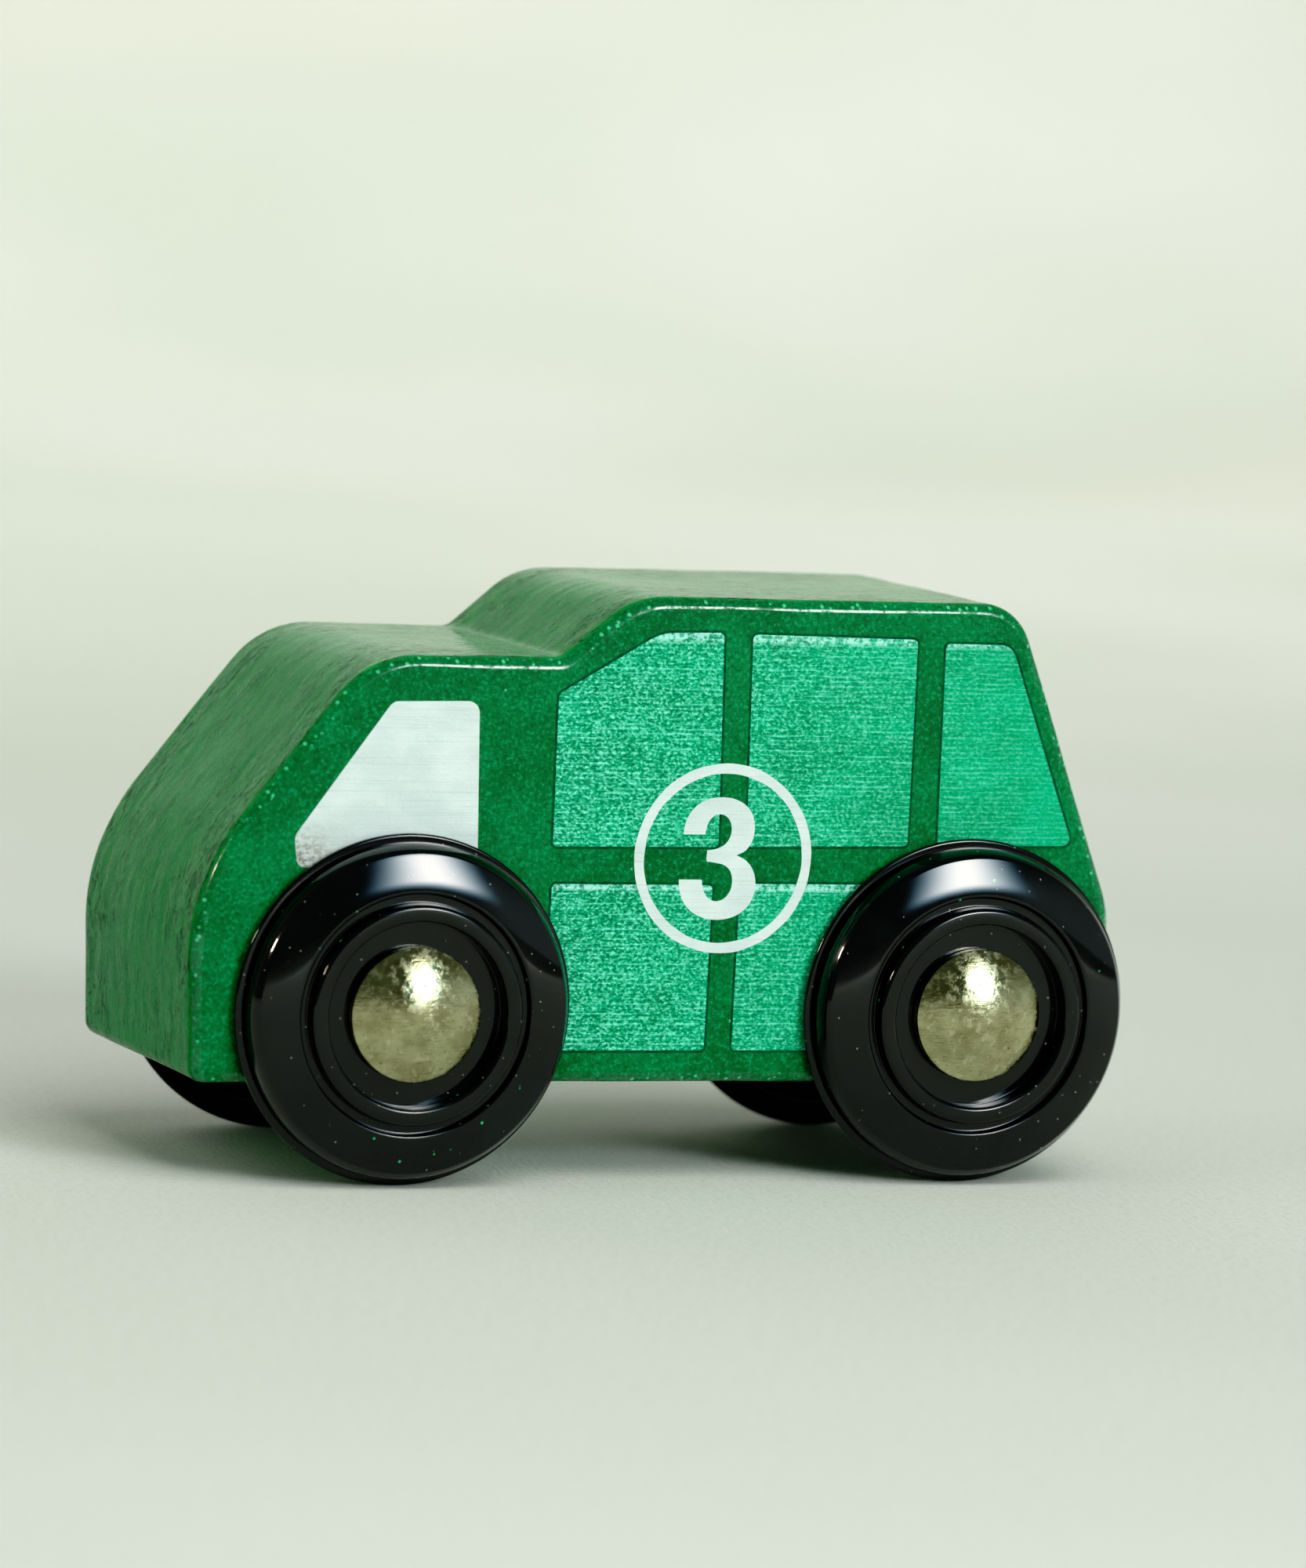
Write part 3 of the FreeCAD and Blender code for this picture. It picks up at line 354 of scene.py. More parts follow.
def white_print_material():
    """Off-white satin ink with pin holes and faint lines."""
    tree = Surface("print_white")
    cloud = tree.noise(mm=(3.0, 9.0, 2.0))
    lines = tree.noise(mm=(7.0, 9.0, 0.12), detail=2, rough=0.5)
    grain = tree.noise(mm=(0.2, 9.0, 0.16), detail=2)
    colour = tree.mix(cloud.ramp(span=(0.3, 0.7)), rgb(198, 212, 208), rgb(212, 224, 220))
    colour = colour.toward(rgb(160, 186, 178), by=lines.ramp(span=(0.45, 0.33), out=(0, 0.32)))
    colour = colour.toward(rgb(170, 196, 184), by=grain.ramp(span=(0.4, 0.26), out=(0, 0.4)))
    near, chosen = tree.spots(
        mm=(0.55, 9.0, 0.5), shift=(1.7, 0, 4.1), radius=(0.16, 0.08), channel=1, share=(0.66, 0.72)
    )
    colour = colour.toward(rgb(96, 110, 78), by=near * chosen * 0.7)
    # painted shade cast by the front wheel, mixed with dirt, in the lower front corner of the front window
    x, _, z = tree.split(tree.place)
    shade_and_grime = x.ramp(span=(0.0215, 0.0262)) * z.ramp(span=(0.0245, 0.0208))
    grime_and_shade_noise = tree.noise(mm=(0.32, 9.0, 0.28), rough=0.7, shift=(6, 2, 1))
    colour = colour.toward(
        rgb(104, 92, 66), by=shade_and_grime * grime_and_shade_noise.ramp(span=(0.42, 0.6), out=(0.25, 0.9))
    )
    return tree.surface(
        Base_Color=colour,
        Roughness=grain.ramp(span=(0.3, 0.7), out=(0.34, 0.5)),
        Specular_IOR_Level=0.35,
        Normal=tree.bump(grain + lines, mm=0.012),
    )


def wheel_material():
    """Gloss black moulded plastic with dust and a few stray paint flecks."""
    tree = Surface("wheel_plastic")
    smear = tree.noise(mm=4.0, detail=4, twist=0.4)
    colour = tree.mix(
        smear.ramp(span=(0.35, 0.7)), (0.002, 0.0025, 0.003), (0.004, 0.005, 0.0055)
    )
    # dust and flecks share their cells
    cell = tree.scaled(mm=1.25, shift=(5.1, 2.2, 8.7))
    pick = tree.split(tree.voronoi(cell, "Color"))
    near = tree.voronoi(cell)
    dust = near.ramp(span=(0.075, 0.045)) * pick[0].ramp(span=(0.66, 0.72))
    fleck = near.ramp(span=(0.1, 0.06)) * pick[1].ramp(span=(0.8, 0.82))
    near, chosen = tree.spots(
        mm=0.62, shift=(2.1, 6.2, 3.7), radius=(0.13, 0.06), channel=2, share=(0.62, 0.68)
    )
    colour = colour.toward(rgb(150, 160, 140), by=near * chosen * 0.5)
    colour = colour.toward(rgb(190, 188, 170), by=dust * 0.5)
    colour = colour.toward(rgb(10, 170, 96), by=fleck)
    rough = smear.ramp(span=(0.35, 0.7), out=(0.1, 0.2)) + dust * 0.3
    wave = tree.noise(mm=1.6, detail=2, rough=0.5)
    return tree.surface(
        Base_Color=colour,
        Roughness=rough,
        IOR=1.5,
        Specular_IOR_Level=0.1,
        Coat_Weight=0.66,
        Coat_Roughness=0.045,
        Coat_IOR=1.64,
        Normal=tree.bump(wave * 0.8 + dust, mm=0.004),
    )


def cap_material():
    """Nickel plate, slightly pitted and warm."""
    tree = Surface("cap_metal")
    cloud = tree.noise(mm=1.6, detail=4)
    grain = tree.noise(mm=0.16, rough=0.65)
    colour = tree.mix(cloud.ramp(span=(0.3, 0.7)), rgb(186, 184, 146), rgb(150, 146, 110))
    near, chosen = tree.spots(
        mm=0.85, shift=(2.4, 6.6, 1.9), radius=(0.14, 0.05), channel=0, share=(0.6, 0.7)
    )
    pit = near * chosen
    colour = colour.toward(rgb(70, 58, 36), by=pit * 0.75)
    colour = colour.toward(rgb(120, 112, 92), by=grain.ramp(span=(0.42, 0.28), out=(0, 0.4)))
    hammered = tree.noise(mm=0.6)
    scratch = tree.noise(mm=(1.6, 1.6, 0.14), twist=2.2, shift=(3, 4, 8))
    colour = colour.toward(rgb(104, 98, 62), by=scratch.ramp(span=(0.44, 0.34), out=(0, 0.55)))
    colour = colour.toward(rgb(214, 214, 180), by=hammered.ramp(span=(0.55, 0.68), out=(0, 0.4)))
    bump = tree.bump(grain - pit * 2.0, mm=0.007)
    bump = tree.bump(hammered + scratch * 0.3, mm=0.026, over=bump)
    bump = tree.bump(cloud, mm=0.012, over=bump)
    return tree.surface(
        Base_Color=colour,
        Metallic=1.0,
        Roughness=hammered.ramp(span=(0.40, 0.62), out=(0.07, 0.3)),
        Normal=bump,
    )


def metal_material(name, light, dark, rough, mm):
    """Drawn or rolled steel; the drawing lines run along the longest size in mm."""
    tree = Surface(name)
    lines = tree.noise(mm=mm)
    cloud = tree.noise(mm=2.5)
    colour = tree.mix(lines.ramp(span=(0.3, 0.7)), dark, light)
    colour = colour.toward(rgb(110, 92, 66), by=cloud.ramp(span=(0.6, 0.8), out=(0, 0.3)))
    return tree.surface(
        Base_Color=colour,
        Metallic=1.0,
        Roughness=lines.ramp(span=(0.3, 0.7), out=(rough - 0.06, rough + 0.1)),
        Normal=tree.bump(lines, mm=0.006),
    )


def plastic_material(name, first, second, rough, grain_mm, translucent=0.0):
    """Moulded plastic with a spark-eroded grain and slight flow marks."""
    tree = Surface(name)
    cloud = tree.noise(mm=5.0, rough=0.55, twist=0.6)
    grain = tree.noise(mm=grain_mm, detail=2)
    return tree.surface(
        Base_Color=tree.mix(cloud.ramp(span=(0.3, 0.7)), first, second),
        Roughness=grain.ramp(span=(0.3, 0.7), out=(rough - 0.05, rough + 0.08)),
        Subsurface_Weight=translucent,
        Subsurface_Scale=0.0008,
        Normal=tree.bump(grain, mm=0.01),
    )


def floor_material():
    """Pale cloth: an off-white with a faint weave, and slow drifts of tone far away."""
    tree = Surface("floor_cloth")
    tone = tree.noise(mm=(210.0, 210.0, 260.0), detail=2, rough=0.5)
    blush = tree.noise(mm=(330.0, 240.0, 300.0), detail=2, rough=0.5, shift=(3, 1, 2))
    colour = tree.mix(tone.ramp(span=(0.32, 0.68)), (0.62, 0.65, 0.58), (0.70, 0.72, 0.67))
    colour = colour.toward((0.74, 0.68, 0.60), by=blush.ramp(span=(0.5, 0.75), out=(0, 0.35)))
    warp = tree.noise(mm=(0.9, 0.28, 0.9), detail=2, rough=0.5)
    weft = tree.noise(mm=(0.28, 0.9, 0.9), detail=2, rough=0.5, shift=(5, 5, 5))
    weave = warp + weft
    colour = colour.toward((0.42, 0.44, 0.38), by=weave.ramp(span=(1.05, 0.8), out=(0, 0.22)))
    return tree.surface(
        Base_Color=colour,
        Roughness=0.85,
        Specular_IOR_Level=0.0,
        Normal=tree.bump(weave, mm=0.05),
    )


# ------------------------------------------------------------------ outlines


def rounded(corners, step, turn=5.0):
    """A closed outline through corners (u, v) or (u, v, radius).

    Points are no further apart than step, nor than turn degrees on the rounds.
    """
    n = len(corners)
    runs = []
    for i, (u, v, *radius) in enumerate(corners):
        corner = Vector((u, v))
        if not radius:
            runs.append([corner])
            continue
        radius = radius[0]
        back = (Vector(corners[i - 1][:2]) - corner).normalized()
        onward = (Vector(corners[(i + 1) % n][:2]) - corner).normalized()
        angle = math.acos(max(-1, min(1, back.dot(onward))))
        cut = radius / math.tan(angle / 2)
        centre = corner + (back + onward).normalized() * (radius / math.sin(angle / 2))
        start = corner + back * cut - centre
        end = corner + onward * cut - centre
        sweep = -start.angle_signed(end)  # angle_signed is clockwise-positive
        by_turn = int(abs(math.degrees(sweep)) / turn) + 1
        count = max(2, by_turn, int(abs(sweep) * radius / step) + 1)
        base = math.atan2(start.y, start.x)
        run = []
        for k in range(count + 1):
            at = base + sweep * k / count
            run.append(centre + Vector((math.cos(at), math.sin(at))) * radius)
        runs.append(run)
    out = []
    for i, run in enumerate(runs):
        out.extend(run)
        start, end = run[-1], runs[(i + 1) % n][0]
        k = int((end - start).length / step)
        for j in range(1, k + 1):
            out.append(start.lerp(end, j / (k + 1)))
    return [(p.x, p.y) for p in out]


def arc(start, end, radius, steps):
    """Points strictly between start and end on an arc that bulges to the right of the way."""
    start, end = Vector(start), Vector(end)
    chord = end - start
    right = Vector((chord.y, -chord.x)).normalized()
    reach = math.sqrt(max(0.0, radius * radius - chord.length_squared / 4))
    centre = (start + end) / 2 - right * reach
    first = math.atan2(start.y - centre.y, start.x - centre.x)
    last = math.atan2(end.y - centre.y, end.x - centre.x)
    while last - first > math.pi:
        last -= 2 * math.pi
    while last - first < -math.pi:
        last += 2 * math.pi
    angles = [first + (last - first) * k / steps for k in range(1, steps)]
    return [(centre.x + radius * math.cos(a), centre.y + radius * math.sin(a)) for a in angles]


def softened(profile, size):
    """The closed profile with every turn above 24 degrees broken by a small round."""
    n = len(profile)
    out = []
    for i in range(n):
        corner = Vector(profile[i])
        back = Vector(profile[i - 1]) - corner
        onward = Vector(profile[(i + 1) % n]) - corner
        turn = 180 - math.degrees(back.angle(onward))
        if turn < 24.0 or corner.y < 1e-6:
            out.append((corner.x, corner.y))
            continue
        back_length, onward_length = back.length, onward.length
        cut = min(size, back_length * 0.35, onward_length * 0.35)
        start = corner + back / back_length * cut
        end = corner + onward / onward_length * cut
        middle = (start + end) / 4 + corner / 2
        run = [
            start,
            start.lerp(middle, 0.5) * 0.92 + corner * 0.08,
            middle,
            end.lerp(middle, 0.5) * 0.92 + corner * 0.08,
            end,
        ]
        # holding points keep the shading of the neighbouring faces flat
        hold_in = min(2.4 * cut, 0.48 * back_length)
        hold_out = min(2.4 * cut, 0.48 * onward_length)
        if hold_in > 1.3 * cut:
            run.insert(0, corner + back / back_length * hold_in)
        if hold_out > 1.3 * cut:
            run.append(corner + onward / onward_length * hold_out)
        out.extend((p.x, p.y) for p in run)
    return out


def circle(u, v, radius, count=48):
    angles = [2 * math.pi * k / count for k in range(count)]
    return [(u + radius * math.cos(a), v + radius * math.sin(a)) for a in angles]


# ------------------------------------------------------------------ meshes


def mesh_object(name, verts, faces, mat):
    mesh = bpy.data.meshes.new(name)
    mesh.from_pydata(verts, [], faces)
    mesh.validate()
    mesh.update()
    ob = bpy.data.objects.new(name, mesh)
    scene.collection.objects.link(ob)
    mesh.materials.append(mat)
    return ob


def shade(ob, angle):
    """Smooth shading with edges sharper than angle degrees kept."""
    mesh = ob.data
    mesh.polygons.foreach_set("use_smooth", [True] * len(mesh.polygons))
    mesh.set_sharp_from_angle(angle=math.radians(angle))
    mesh.update()


def outward(ob):
    """Merge doubled vertices and turn the normals outwards."""
    bm = bmesh.new()
    bm.from_mesh(ob.data)
    bmesh.ops.remove_doubles(bm, verts=bm.verts, dist=1e-8)
    bmesh.ops.recalc_face_normals(bm, faces=bm.faces)
    bm.to_mesh(ob.data)
    bm.free()


def band(first, second):
    """Faces between two closed rings of vertex numbers."""
    n = len(first)
    return [
        (first[i], first[(i + 1) % n], second[(i + 1) % n], second[i]) for i in range(n)
    ]


def prism(name, outline, axis, low, high, mat):
    """A closed prism over an outline. axis 'y': outline is (x, z); axis 'z': outline is (x, y)."""
    verts = []
    for h in (low, high):
        for u, v in outline:
            verts.append(
                (u * MM, h * MM, v * MM) if axis == "y" else (u * MM, v * MM, h * MM)
            )
    n = len(outline)
    ends = [tuple(range(n)), tuple(range(n, 2 * n))]
    ob = mesh_object(name, verts, ends + band(range(n), range(n, 2 * n)), mat)
    outward(ob)
    return ob


def lathe(name, profile, axle_x, side, mat, segments, sharp, shape=None):
    """The closed (y, r) profile turned about an axle. side is +1 left, -1 right.

    shape(y, r, angle) may return a small change of y.
    """
    verts, faces = [], []
    n = len(profile)
    for k in range(segments):
        a = 2 * math.pi * k / segments
        ca, sa = math.cos(a), math.sin(a)
        for y, r in profile:
            dy = shape(y, r, a) if shape else 0.0
            verts.append(((axle_x + r * ca) * MM, side * (y + dy) * MM, (AXLE_Z + r * sa) * MM))
    for k in range(segments):
        k2 = (k + 1) % segments
        for i in range(n):
            j = (i + 1) % n
            if profile[i][1] < 1e-6 and profile[j][1] < 1e-6:
                continue
            faces.append((k * n + i, k * n + j, k2 * n + j, k2 * n + i))
    ob = mesh_object(name, verts, faces, mat)
    outward(ob)
    shade(ob, sharp)
    return ob


def attach(ob, body, replaced=None):
    """Let ob move with a body and hide the CAD piece it stands for, if one is given."""
    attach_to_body(ob, body)
    if replaced:
        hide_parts(replaced)


# ------------------------------------------------------------------ the wooden body

# side outline: x, z, corner radius
BODY = [
    (32.4, 6.5, 1.1),
    (33.05, 19.5, 15.0),
    (21.35, 34.55, 7.0),
    (8.15, 34.55, 1.4),
    (3.3, 38.65, 6.0),
    (-24.2, 38.65, 3.8),
    (-32.05, 18.2, 8.0),
    (-32.05, 6.5, 1.1),
]
MIDDLE = Vector((-1.0, 20.0))  # x, z the side faces shrink towards
SIDE_RINGS = (0.965, 0.93, 0.88, 0.82, 0.75, 0.67, 0.59, 0.5, 0.41, 0.32, 0.23, 0.14, 0.06)
CORNER_STEPS = 12
WIDTH_STEPS = 62

# cuts in the body
CUT_REACH = 14.0  # beyond both sides
CUT_FLOOR = 5.0  # below the underside
POCKET_HALF_WIDTH = 6.15
POCKET = [  # x, z, corner radius
    (-6.4, CUT_FLOOR),
    (-6.4, 27.4, 1.0),
    (-21.6, 27.4, 1.0),
    (-27.4, 20.5, 1.0),
    (-27.4, CUT_FLOOR),
]
CHANNEL_RADIUS = 1.3  # rear axle channel, open below
BORE_RADIUS = 1.05  # front axle bore
SEATS = ((-6.9, -2.1), (-30.6, -26.9))  # x from, to
SEAT_HALF_WIDTH, SEAT_CORNER, SEAT_TOP = 2.6, 0.5, 8.25
PILOTS = (-4.2, -28.9)  # x of the round holes above the seats
PILOT_RADIUS, PILOT_FLOOR, PILOT_TOP = 0.8, 7.0, 13.15


def drift(x, y, z, wave, seed):
    """Smooth noise of about -1 to 1 with the given wavelength."""
    return noise.noise(Vector((x / wave + seed, y / wave - seed, z / wave + 2 * seed)))


def side_relief(x, z, side):
    """How far the sanded side face stands off its plane."""
    broad = drift(x, side * HALF_WIDTH, z, wave=11.0, seed=3.7) * 0.035
    small = drift(x, side * HALF_WIDTH, z, wave=4.0, seed=8.1) * 0.008
    return -0.03 + broad + small


def belt_relief(x, y, z):
    """Hand-sanded unevenness of the sawn outline; its bands change quickly across the width."""
    slow = drift(x, y, z, wave=8.5, seed=1.3) * 0.07
    bands = noise.noise(Vector((x / 4.2, y / 1.15 + 5, z / 4.2))) * 0.028
    fine = noise.noise(Vector((x / 2.1, y / 0.6 - 3, z / 2.1))) * 0.010
    return -0.06 + slow + bands + fine


def body_rows():
    """Sections from right to left: y, inset from the outline, weight of the belt relief."""
    flat = HALF_WIDTH - EDGE

    def corner_row(side, share):
        angle = math.pi / 2 * share
        y = side * (flat + EDGE * math.sin(angle))
        return y, EDGE * (1 - math.cos(angle)), math.cos(angle)

    steps = range(CORNER_STEPS + 1)
    rows = [corner_row(-1, 1 - k / CORNER_STEPS) for k in steps]
    rows += [(-flat + 2 * flat * k / WIDTH_STEPS, 0.0, 1.0) for k in range(1, WIDTH_STEPS)]
    return rows + [corner_row(1, k / CORNER_STEPS) for k in steps]


def body_shell(paint):
    outline = [Vector(p) for p in rounded(BODY, step=0.36, turn=3.2)]
    n = len(outline)
    normals = []
    for i in range(n):
        along = (outline[(i + 1) % n] - outline[i - 1]).normalized()
        normals.append(Vector((along.y, -along.x)))
    rows = body_rows()
    verts, faces = [], []
    for y, inset, weight in rows:
        side = 1 if y > 0 else -1
        for point, normal in zip(outline, normals):
            # the sanded corner is a little fuller in places than in others
            swell = 1.0 + 0.16 * drift(point.x, side * 9.0, point.y, wave=7.0, seed=5.5)
            q = point - normal * inset * swell
            rise = belt_relief(q.x, y, q.y) * weight
            y_out = y + side * side_relief(q.x, q.y, side) * (1 - weight)
            q = q + normal * rise
            verts.append((q.x * MM, y_out * MM, q.y * MM))
    rings = [range(r * n, r * n + n) for r in range(len(rows))]
    for first, second in zip(rings, rings[1:]):
        faces += band(first, second)

    def side_vert(point, side):
        y = side * (HALF_WIDTH + side_relief(point.x, point.y, side))
        verts.append((point.x * MM, y * MM, point.y * MM))

    # the two flat sides: rings that shrink to the middle
    for side, ring in ((-1, rings[0]), (1, rings[-1])):
        edge = [Vector((verts[v][0] / MM, verts[v][2] / MM)) for v in ring]
        for share in SIDE_RINGS:
            inner = range(len(verts), len(verts) + n)
            for q in edge:
                side_vert(MIDDLE + (q - MIDDLE) * share, side)
            faces += band(ring, inner)
            ring = inner
        centre = len(verts)
        side_vert(MIDDLE, side)
        faces += [(ring[i], ring[(i + 1) % n], centre) for i in range(n)]
    ob = mesh_object("body_shell", verts, faces, paint)
    outward(ob)
    return ob


def body_cutters(wood):
    pocket = rounded(POCKET, step=2.0)
    out = [prism("cut_pocket", pocket, "y", -POCKET_HALF_WIDTH, POCKET_HALF_WIDTH, wood)]
    tail, nose = REAR_AXLE_X - CHANNEL_RADIUS, REAR_AXLE_X + CHANNEL_RADIUS
    channel = [(tail, CUT_FLOOR), (nose, CUT_FLOOR), (nose, AXLE_Z)]
    for k in range(1, 20):
        a = math.pi * k / 20
        channel.append(
            (REAR_AXLE_X + CHANNEL_RADIUS * math.cos(a), AXLE_Z + CHANNEL_RADIUS * math.sin(a))
        )
    channel.append((tail, AXLE_Z))
    out.append(prism("cut_channel", channel, "y", -CUT_REACH, CUT_REACH, wood))
    bore = circle(FRONT_AXLE_X, AXLE_Z, BORE_RADIUS)
    out.append(prism("cut_bore", bore, "y", -CUT_REACH, CUT_REACH, wood))
    w, r = SEAT_HALF_WIDTH, SEAT_CORNER
    for i, (start, end) in enumerate(SEATS):
        seat = rounded([(start, -w, r), (end, -w, r), (end, w, r), (start, w, r)], step=2.0)
        out.append(prism("cut_seat_%d" % i, seat, "z", CUT_FLOOR, SEAT_TOP, wood))
    for i, x in enumerate(PILOTS):
        pilot = circle(x, 0.0, PILOT_RADIUS, 32)
        out.append(prism("cut_pilot_%d" % i, pilot, "z", PILOT_FLOOR, PILOT_TOP, wood))
    return out


def build_body(paint, wood):
    ob = body_shell(paint)
    ob.data.materials.append(wood)
    for cutter in body_cutters(wood):
        mod = ob.modifiers.new("cut", "BOOLEAN")
        mod.operation = "DIFFERENCE"
        mod.solver = "EXACT"
        mod.material_mode = "TRANSFER"
        mod.object = cutter
        depsgraph = bpy.context.evaluated_depsgraph_get()
        cut = bpy.data.meshes.new_from_object(ob.evaluated_get(depsgraph))
        ob.modifiers.clear()
        ob.data = cut
        bpy.data.objects.remove(cutter)
    shade(ob, 38.0)
    attach(ob, "car_body", "wooden_body")


# ------------------------------------------------------------------ printed films

# a bold condensed figure three, drawn about its own middle with +u to the reader's right
THREE = [
    (-2.52, 1.62), (-2.38, 2.42), (-2.05, 3.12), (-1.50, 3.68), (-0.78, 4.02), (0.05, 4.12),
    (0.88, 4.02), (1.62, 3.66), (2.12, 3.10), (2.36, 2.38), (2.36, 1.62), (2.16, 1.00),
    (1.78, 0.52), (1.22, 0.24), (1.86, -0.08), (2.34, -0.62), (2.60, -1.34), (2.62, -2.12),
    (2.38, -2.88), (1.88, -3.50), (1.12, -3.94), (0.14, -4.12), (-0.88, -3.98), (-1.70, -3.56),
    (-2.28, -2.92), (-2.58, -2.14), (-2.66, -1.42), (-1.08, -1.42), (-0.98, -2.02),
    (-0.68, -2.56), (-0.20, -2.84), (0.30, -2.80), (0.72, -2.48), (0.98, -1.94), (1.00, -1.28),
    (0.80, -0.76), (0.38, -0.42), (-0.20, -0.28), (-0.80, -0.20), (-0.84, 0.02), (-0.80, 0.56),
    (-0.24, 0.64), (0.32, 0.90), (0.66, 1.32), (0.80, 1.84), (0.72, 2.40), (0.42, 2.82),
    (-0.02, 2.98), (-0.46, 2.86), (-0.78, 2.50), (-0.94, 2.04), (-1.00, 1.62),
]
THREE_SHARP = {0, 13, 26, 27, 38, 40, 51}  # points that stay corners
THREE_WIDEN, THREE_HEIGHTEN = 1.03, 0.985
THREE_AHEAD, THREE_UP = 0.32, -0.02  # from the ring centre; ahead on the left side, back on the right

# panels: x, z, corner radius
WHITE_WINDOW = [
    (19.88, 31.49, 0.8), (13.95, 31.59, 0.8), (13.53, 21.0, 0.5), (25.91, 20.64, 0.6),
    (26.17, 22.67, 0.9),
]
GREEN_PANELS = {
    "window_1": [
        (8.48, 32.14, 0.5), (1.52, 36.26, 3.2), (-2.90, 36.35, 0.35), (-3.29, 22.23, 0.3),
        (8.36, 22.17, 0.3),
    ],
    "window_2": [
        (-4.96, 36.28, 0.35), (-16.76, 36.14, 0.35), (-16.82, 22.40, 0.3), (-5.29, 22.25, 0.3),
    ],
    "window_3": [
        (-18.81, 35.92, 0.35), (-23.60, 35.90, 1.2), (-28.83, 22.51, 0.5), (-18.98, 22.47, 0.3),
    ],
    "panel_1": [(8.28, 19.70, 0.3), (-3.02, 19.70, 0.3), (-3.02, 8.74, 0.3), (8.28, 8.74, 0.3)],
    "panel_2": [(-4.99, 19.80, 0.3), (-16.8, 19.80, 0.3), (-16.8, 8.74, 0.3), (-4.99, 8.74, 0.3)],
}
RING_X, RING_Z, RING_OUTER, RING_INNER = -3.66, 21.48, 6.28, 5.60

RIM_BLEED = 0.17  # how far the rim reaches beyond its panel
FILM_DEPTH = 0.03
# how far each film stands proud of the side
RIM_LIFT, GREEN_LIFT, WINDOW_LIFT, NUMBER_LIFT = 0.004, 0.010, 0.012, 0.026


def film(name, outline, side, lift, mat, step=0.7):
    """A thin printed patch over an (x, z) outline, cut into a grid so it follows the side."""
    bm = bmesh.new()
    bm.faces.new([bm.verts.new((x, 0.0, z)) for x, z in outline])
    bm.normal_update()
    bmesh.ops.triangulate(bm, faces=bm.faces[:], ngon_method="EAR_CLIP")
    xs, zs = zip(*outline)
    for values, normal in ((xs, (1, 0, 0)), (zs, (0, 0, 1))):
        low, high = min(values), max(values)
        count = max(1, int((high - low) / step))
        for i in range(1, count):
            bmesh.ops.bisect_plane(
                bm,
                geom=bm.verts[:] + bm.edges[:] + bm.faces[:],
                plane_co=Vector(normal) * (low + (high - low) * i / count),
                plane_no=normal,
                dist=1e-5,
            )
    finish_film(name, bm, side, lift, mat)


def ring_film(name, side, lift, mat, segments=144):
    """The ring round the number, with slightly wavy edges."""
    bm = bmesh.new()
    radii = [RING_INNER, (RING_INNER + RING_OUTER) / 2, RING_OUTER]
    grid = []
    for k in range(segments):
        a = 2 * math.pi * k / segments
        wobble = 0.012 * math.sin(7 * a + 1.0) + 0.010 * math.sin(17 * a)
        spoke = []
        for radius in radii:
            r = radius + (-wobble if radius == RING_INNER else wobble)
            spoke.append(bm.verts.new((RING_X + r * math.cos(a), 0.0, RING_Z + r * math.sin(a))))
        grid.append(spoke)
    for k in range(segments):
        a, b = grid[k], grid[(k + 1) % segments]
        for i in range(len(radii) - 1):
            bm.faces.new((a[i], a[i + 1], b[i + 1], b[i]))
    finish_film(name, bm, side, lift, mat)


def finish_film(name, bm, side, lift, mat):
    """Thicken a flat patch and lay it on the sanded side."""
    extruded = bmesh.ops.extrude_face_region(bm, geom=bm.faces[:])
    low = {v for v in extruded["geom"] if isinstance(v, bmesh.types.BMVert)}
    for v in bm.verts:
        x, z = v.co.x, v.co.z
        rise = side_relief(x, z, side) + (lift - FILM_DEPTH if v in low else lift)
        v.co = Vector((x * MM, side * (HALF_WIDTH + rise) * MM, z * MM))
    bmesh.ops.recalc_face_normals(bm, faces=bm.faces)
    mesh = bpy.data.meshes.new(name)
    bm.to_mesh(mesh)
    bm.free()
    mesh.materials.append(mat)
    ob = bpy.data.objects.new(name, mesh)
    scene.collection.objects.link(ob)
    shade(ob, 40.0)
    attach(ob, "car_body")


def curve_through(points, sharp, per=5):
    """A closed smooth outline, per points to a span; indices in sharp stay corners."""
    n = len(points)
    out = []
    for i in range(n):
        p0, p1, p2, p3 = (Vector(points[(i + k - 1) % n]) for k in range(4))
        if i in sharp:
            p0 = p1 - (p2 - p1)
        if (i + 1) % n in sharp:
            p3 = p2 + (p2 - p1)
        for k in range(per):
            t = k / per
            out.append(
                0.5
                * (
                    2 * p1
                    + (p2 - p0) * t
                    + (2 * p0 - 5 * p1 + 4 * p2 - p3) * t * t
                    + (3 * p1 - p0 - 3 * p2 + p3) * t ** 3
                )
            )
    return [(p.x, p.y) for p in out]


def grown(corners, distance):
    """The same convex corners with every edge moved outwards."""
    n = len(corners)
    points = [Vector(c[:2]) for c in corners]
    middle = sum(points, Vector((0.0, 0.0))) / n
    out = []
    for i in range(n):
        lines = []
        for start, end in ((points[i - 1], points[i]), (points[i], points[(i + 1) % n])):
            along = (end - start).normalized()
            away = Vector((along.y, -along.x))
            if away.dot(start - middle) < 0:
                away = -away
            lines.append((start + away * distance, along))
        # where the two moved edges cross
        (p, u), (q, v) = lines
        cross = u.x * v.y - u.y * v.x
        k = ((q.x - p.x) * v.y - (q.y - p.y) * v.x) / cross
        corner = p + u * k
        out.append((corner.x, corner.y, corners[i][2] + distance))
    return out


def panel_outline(corners):
    return rounded(corners, step=0.9, turn=12)


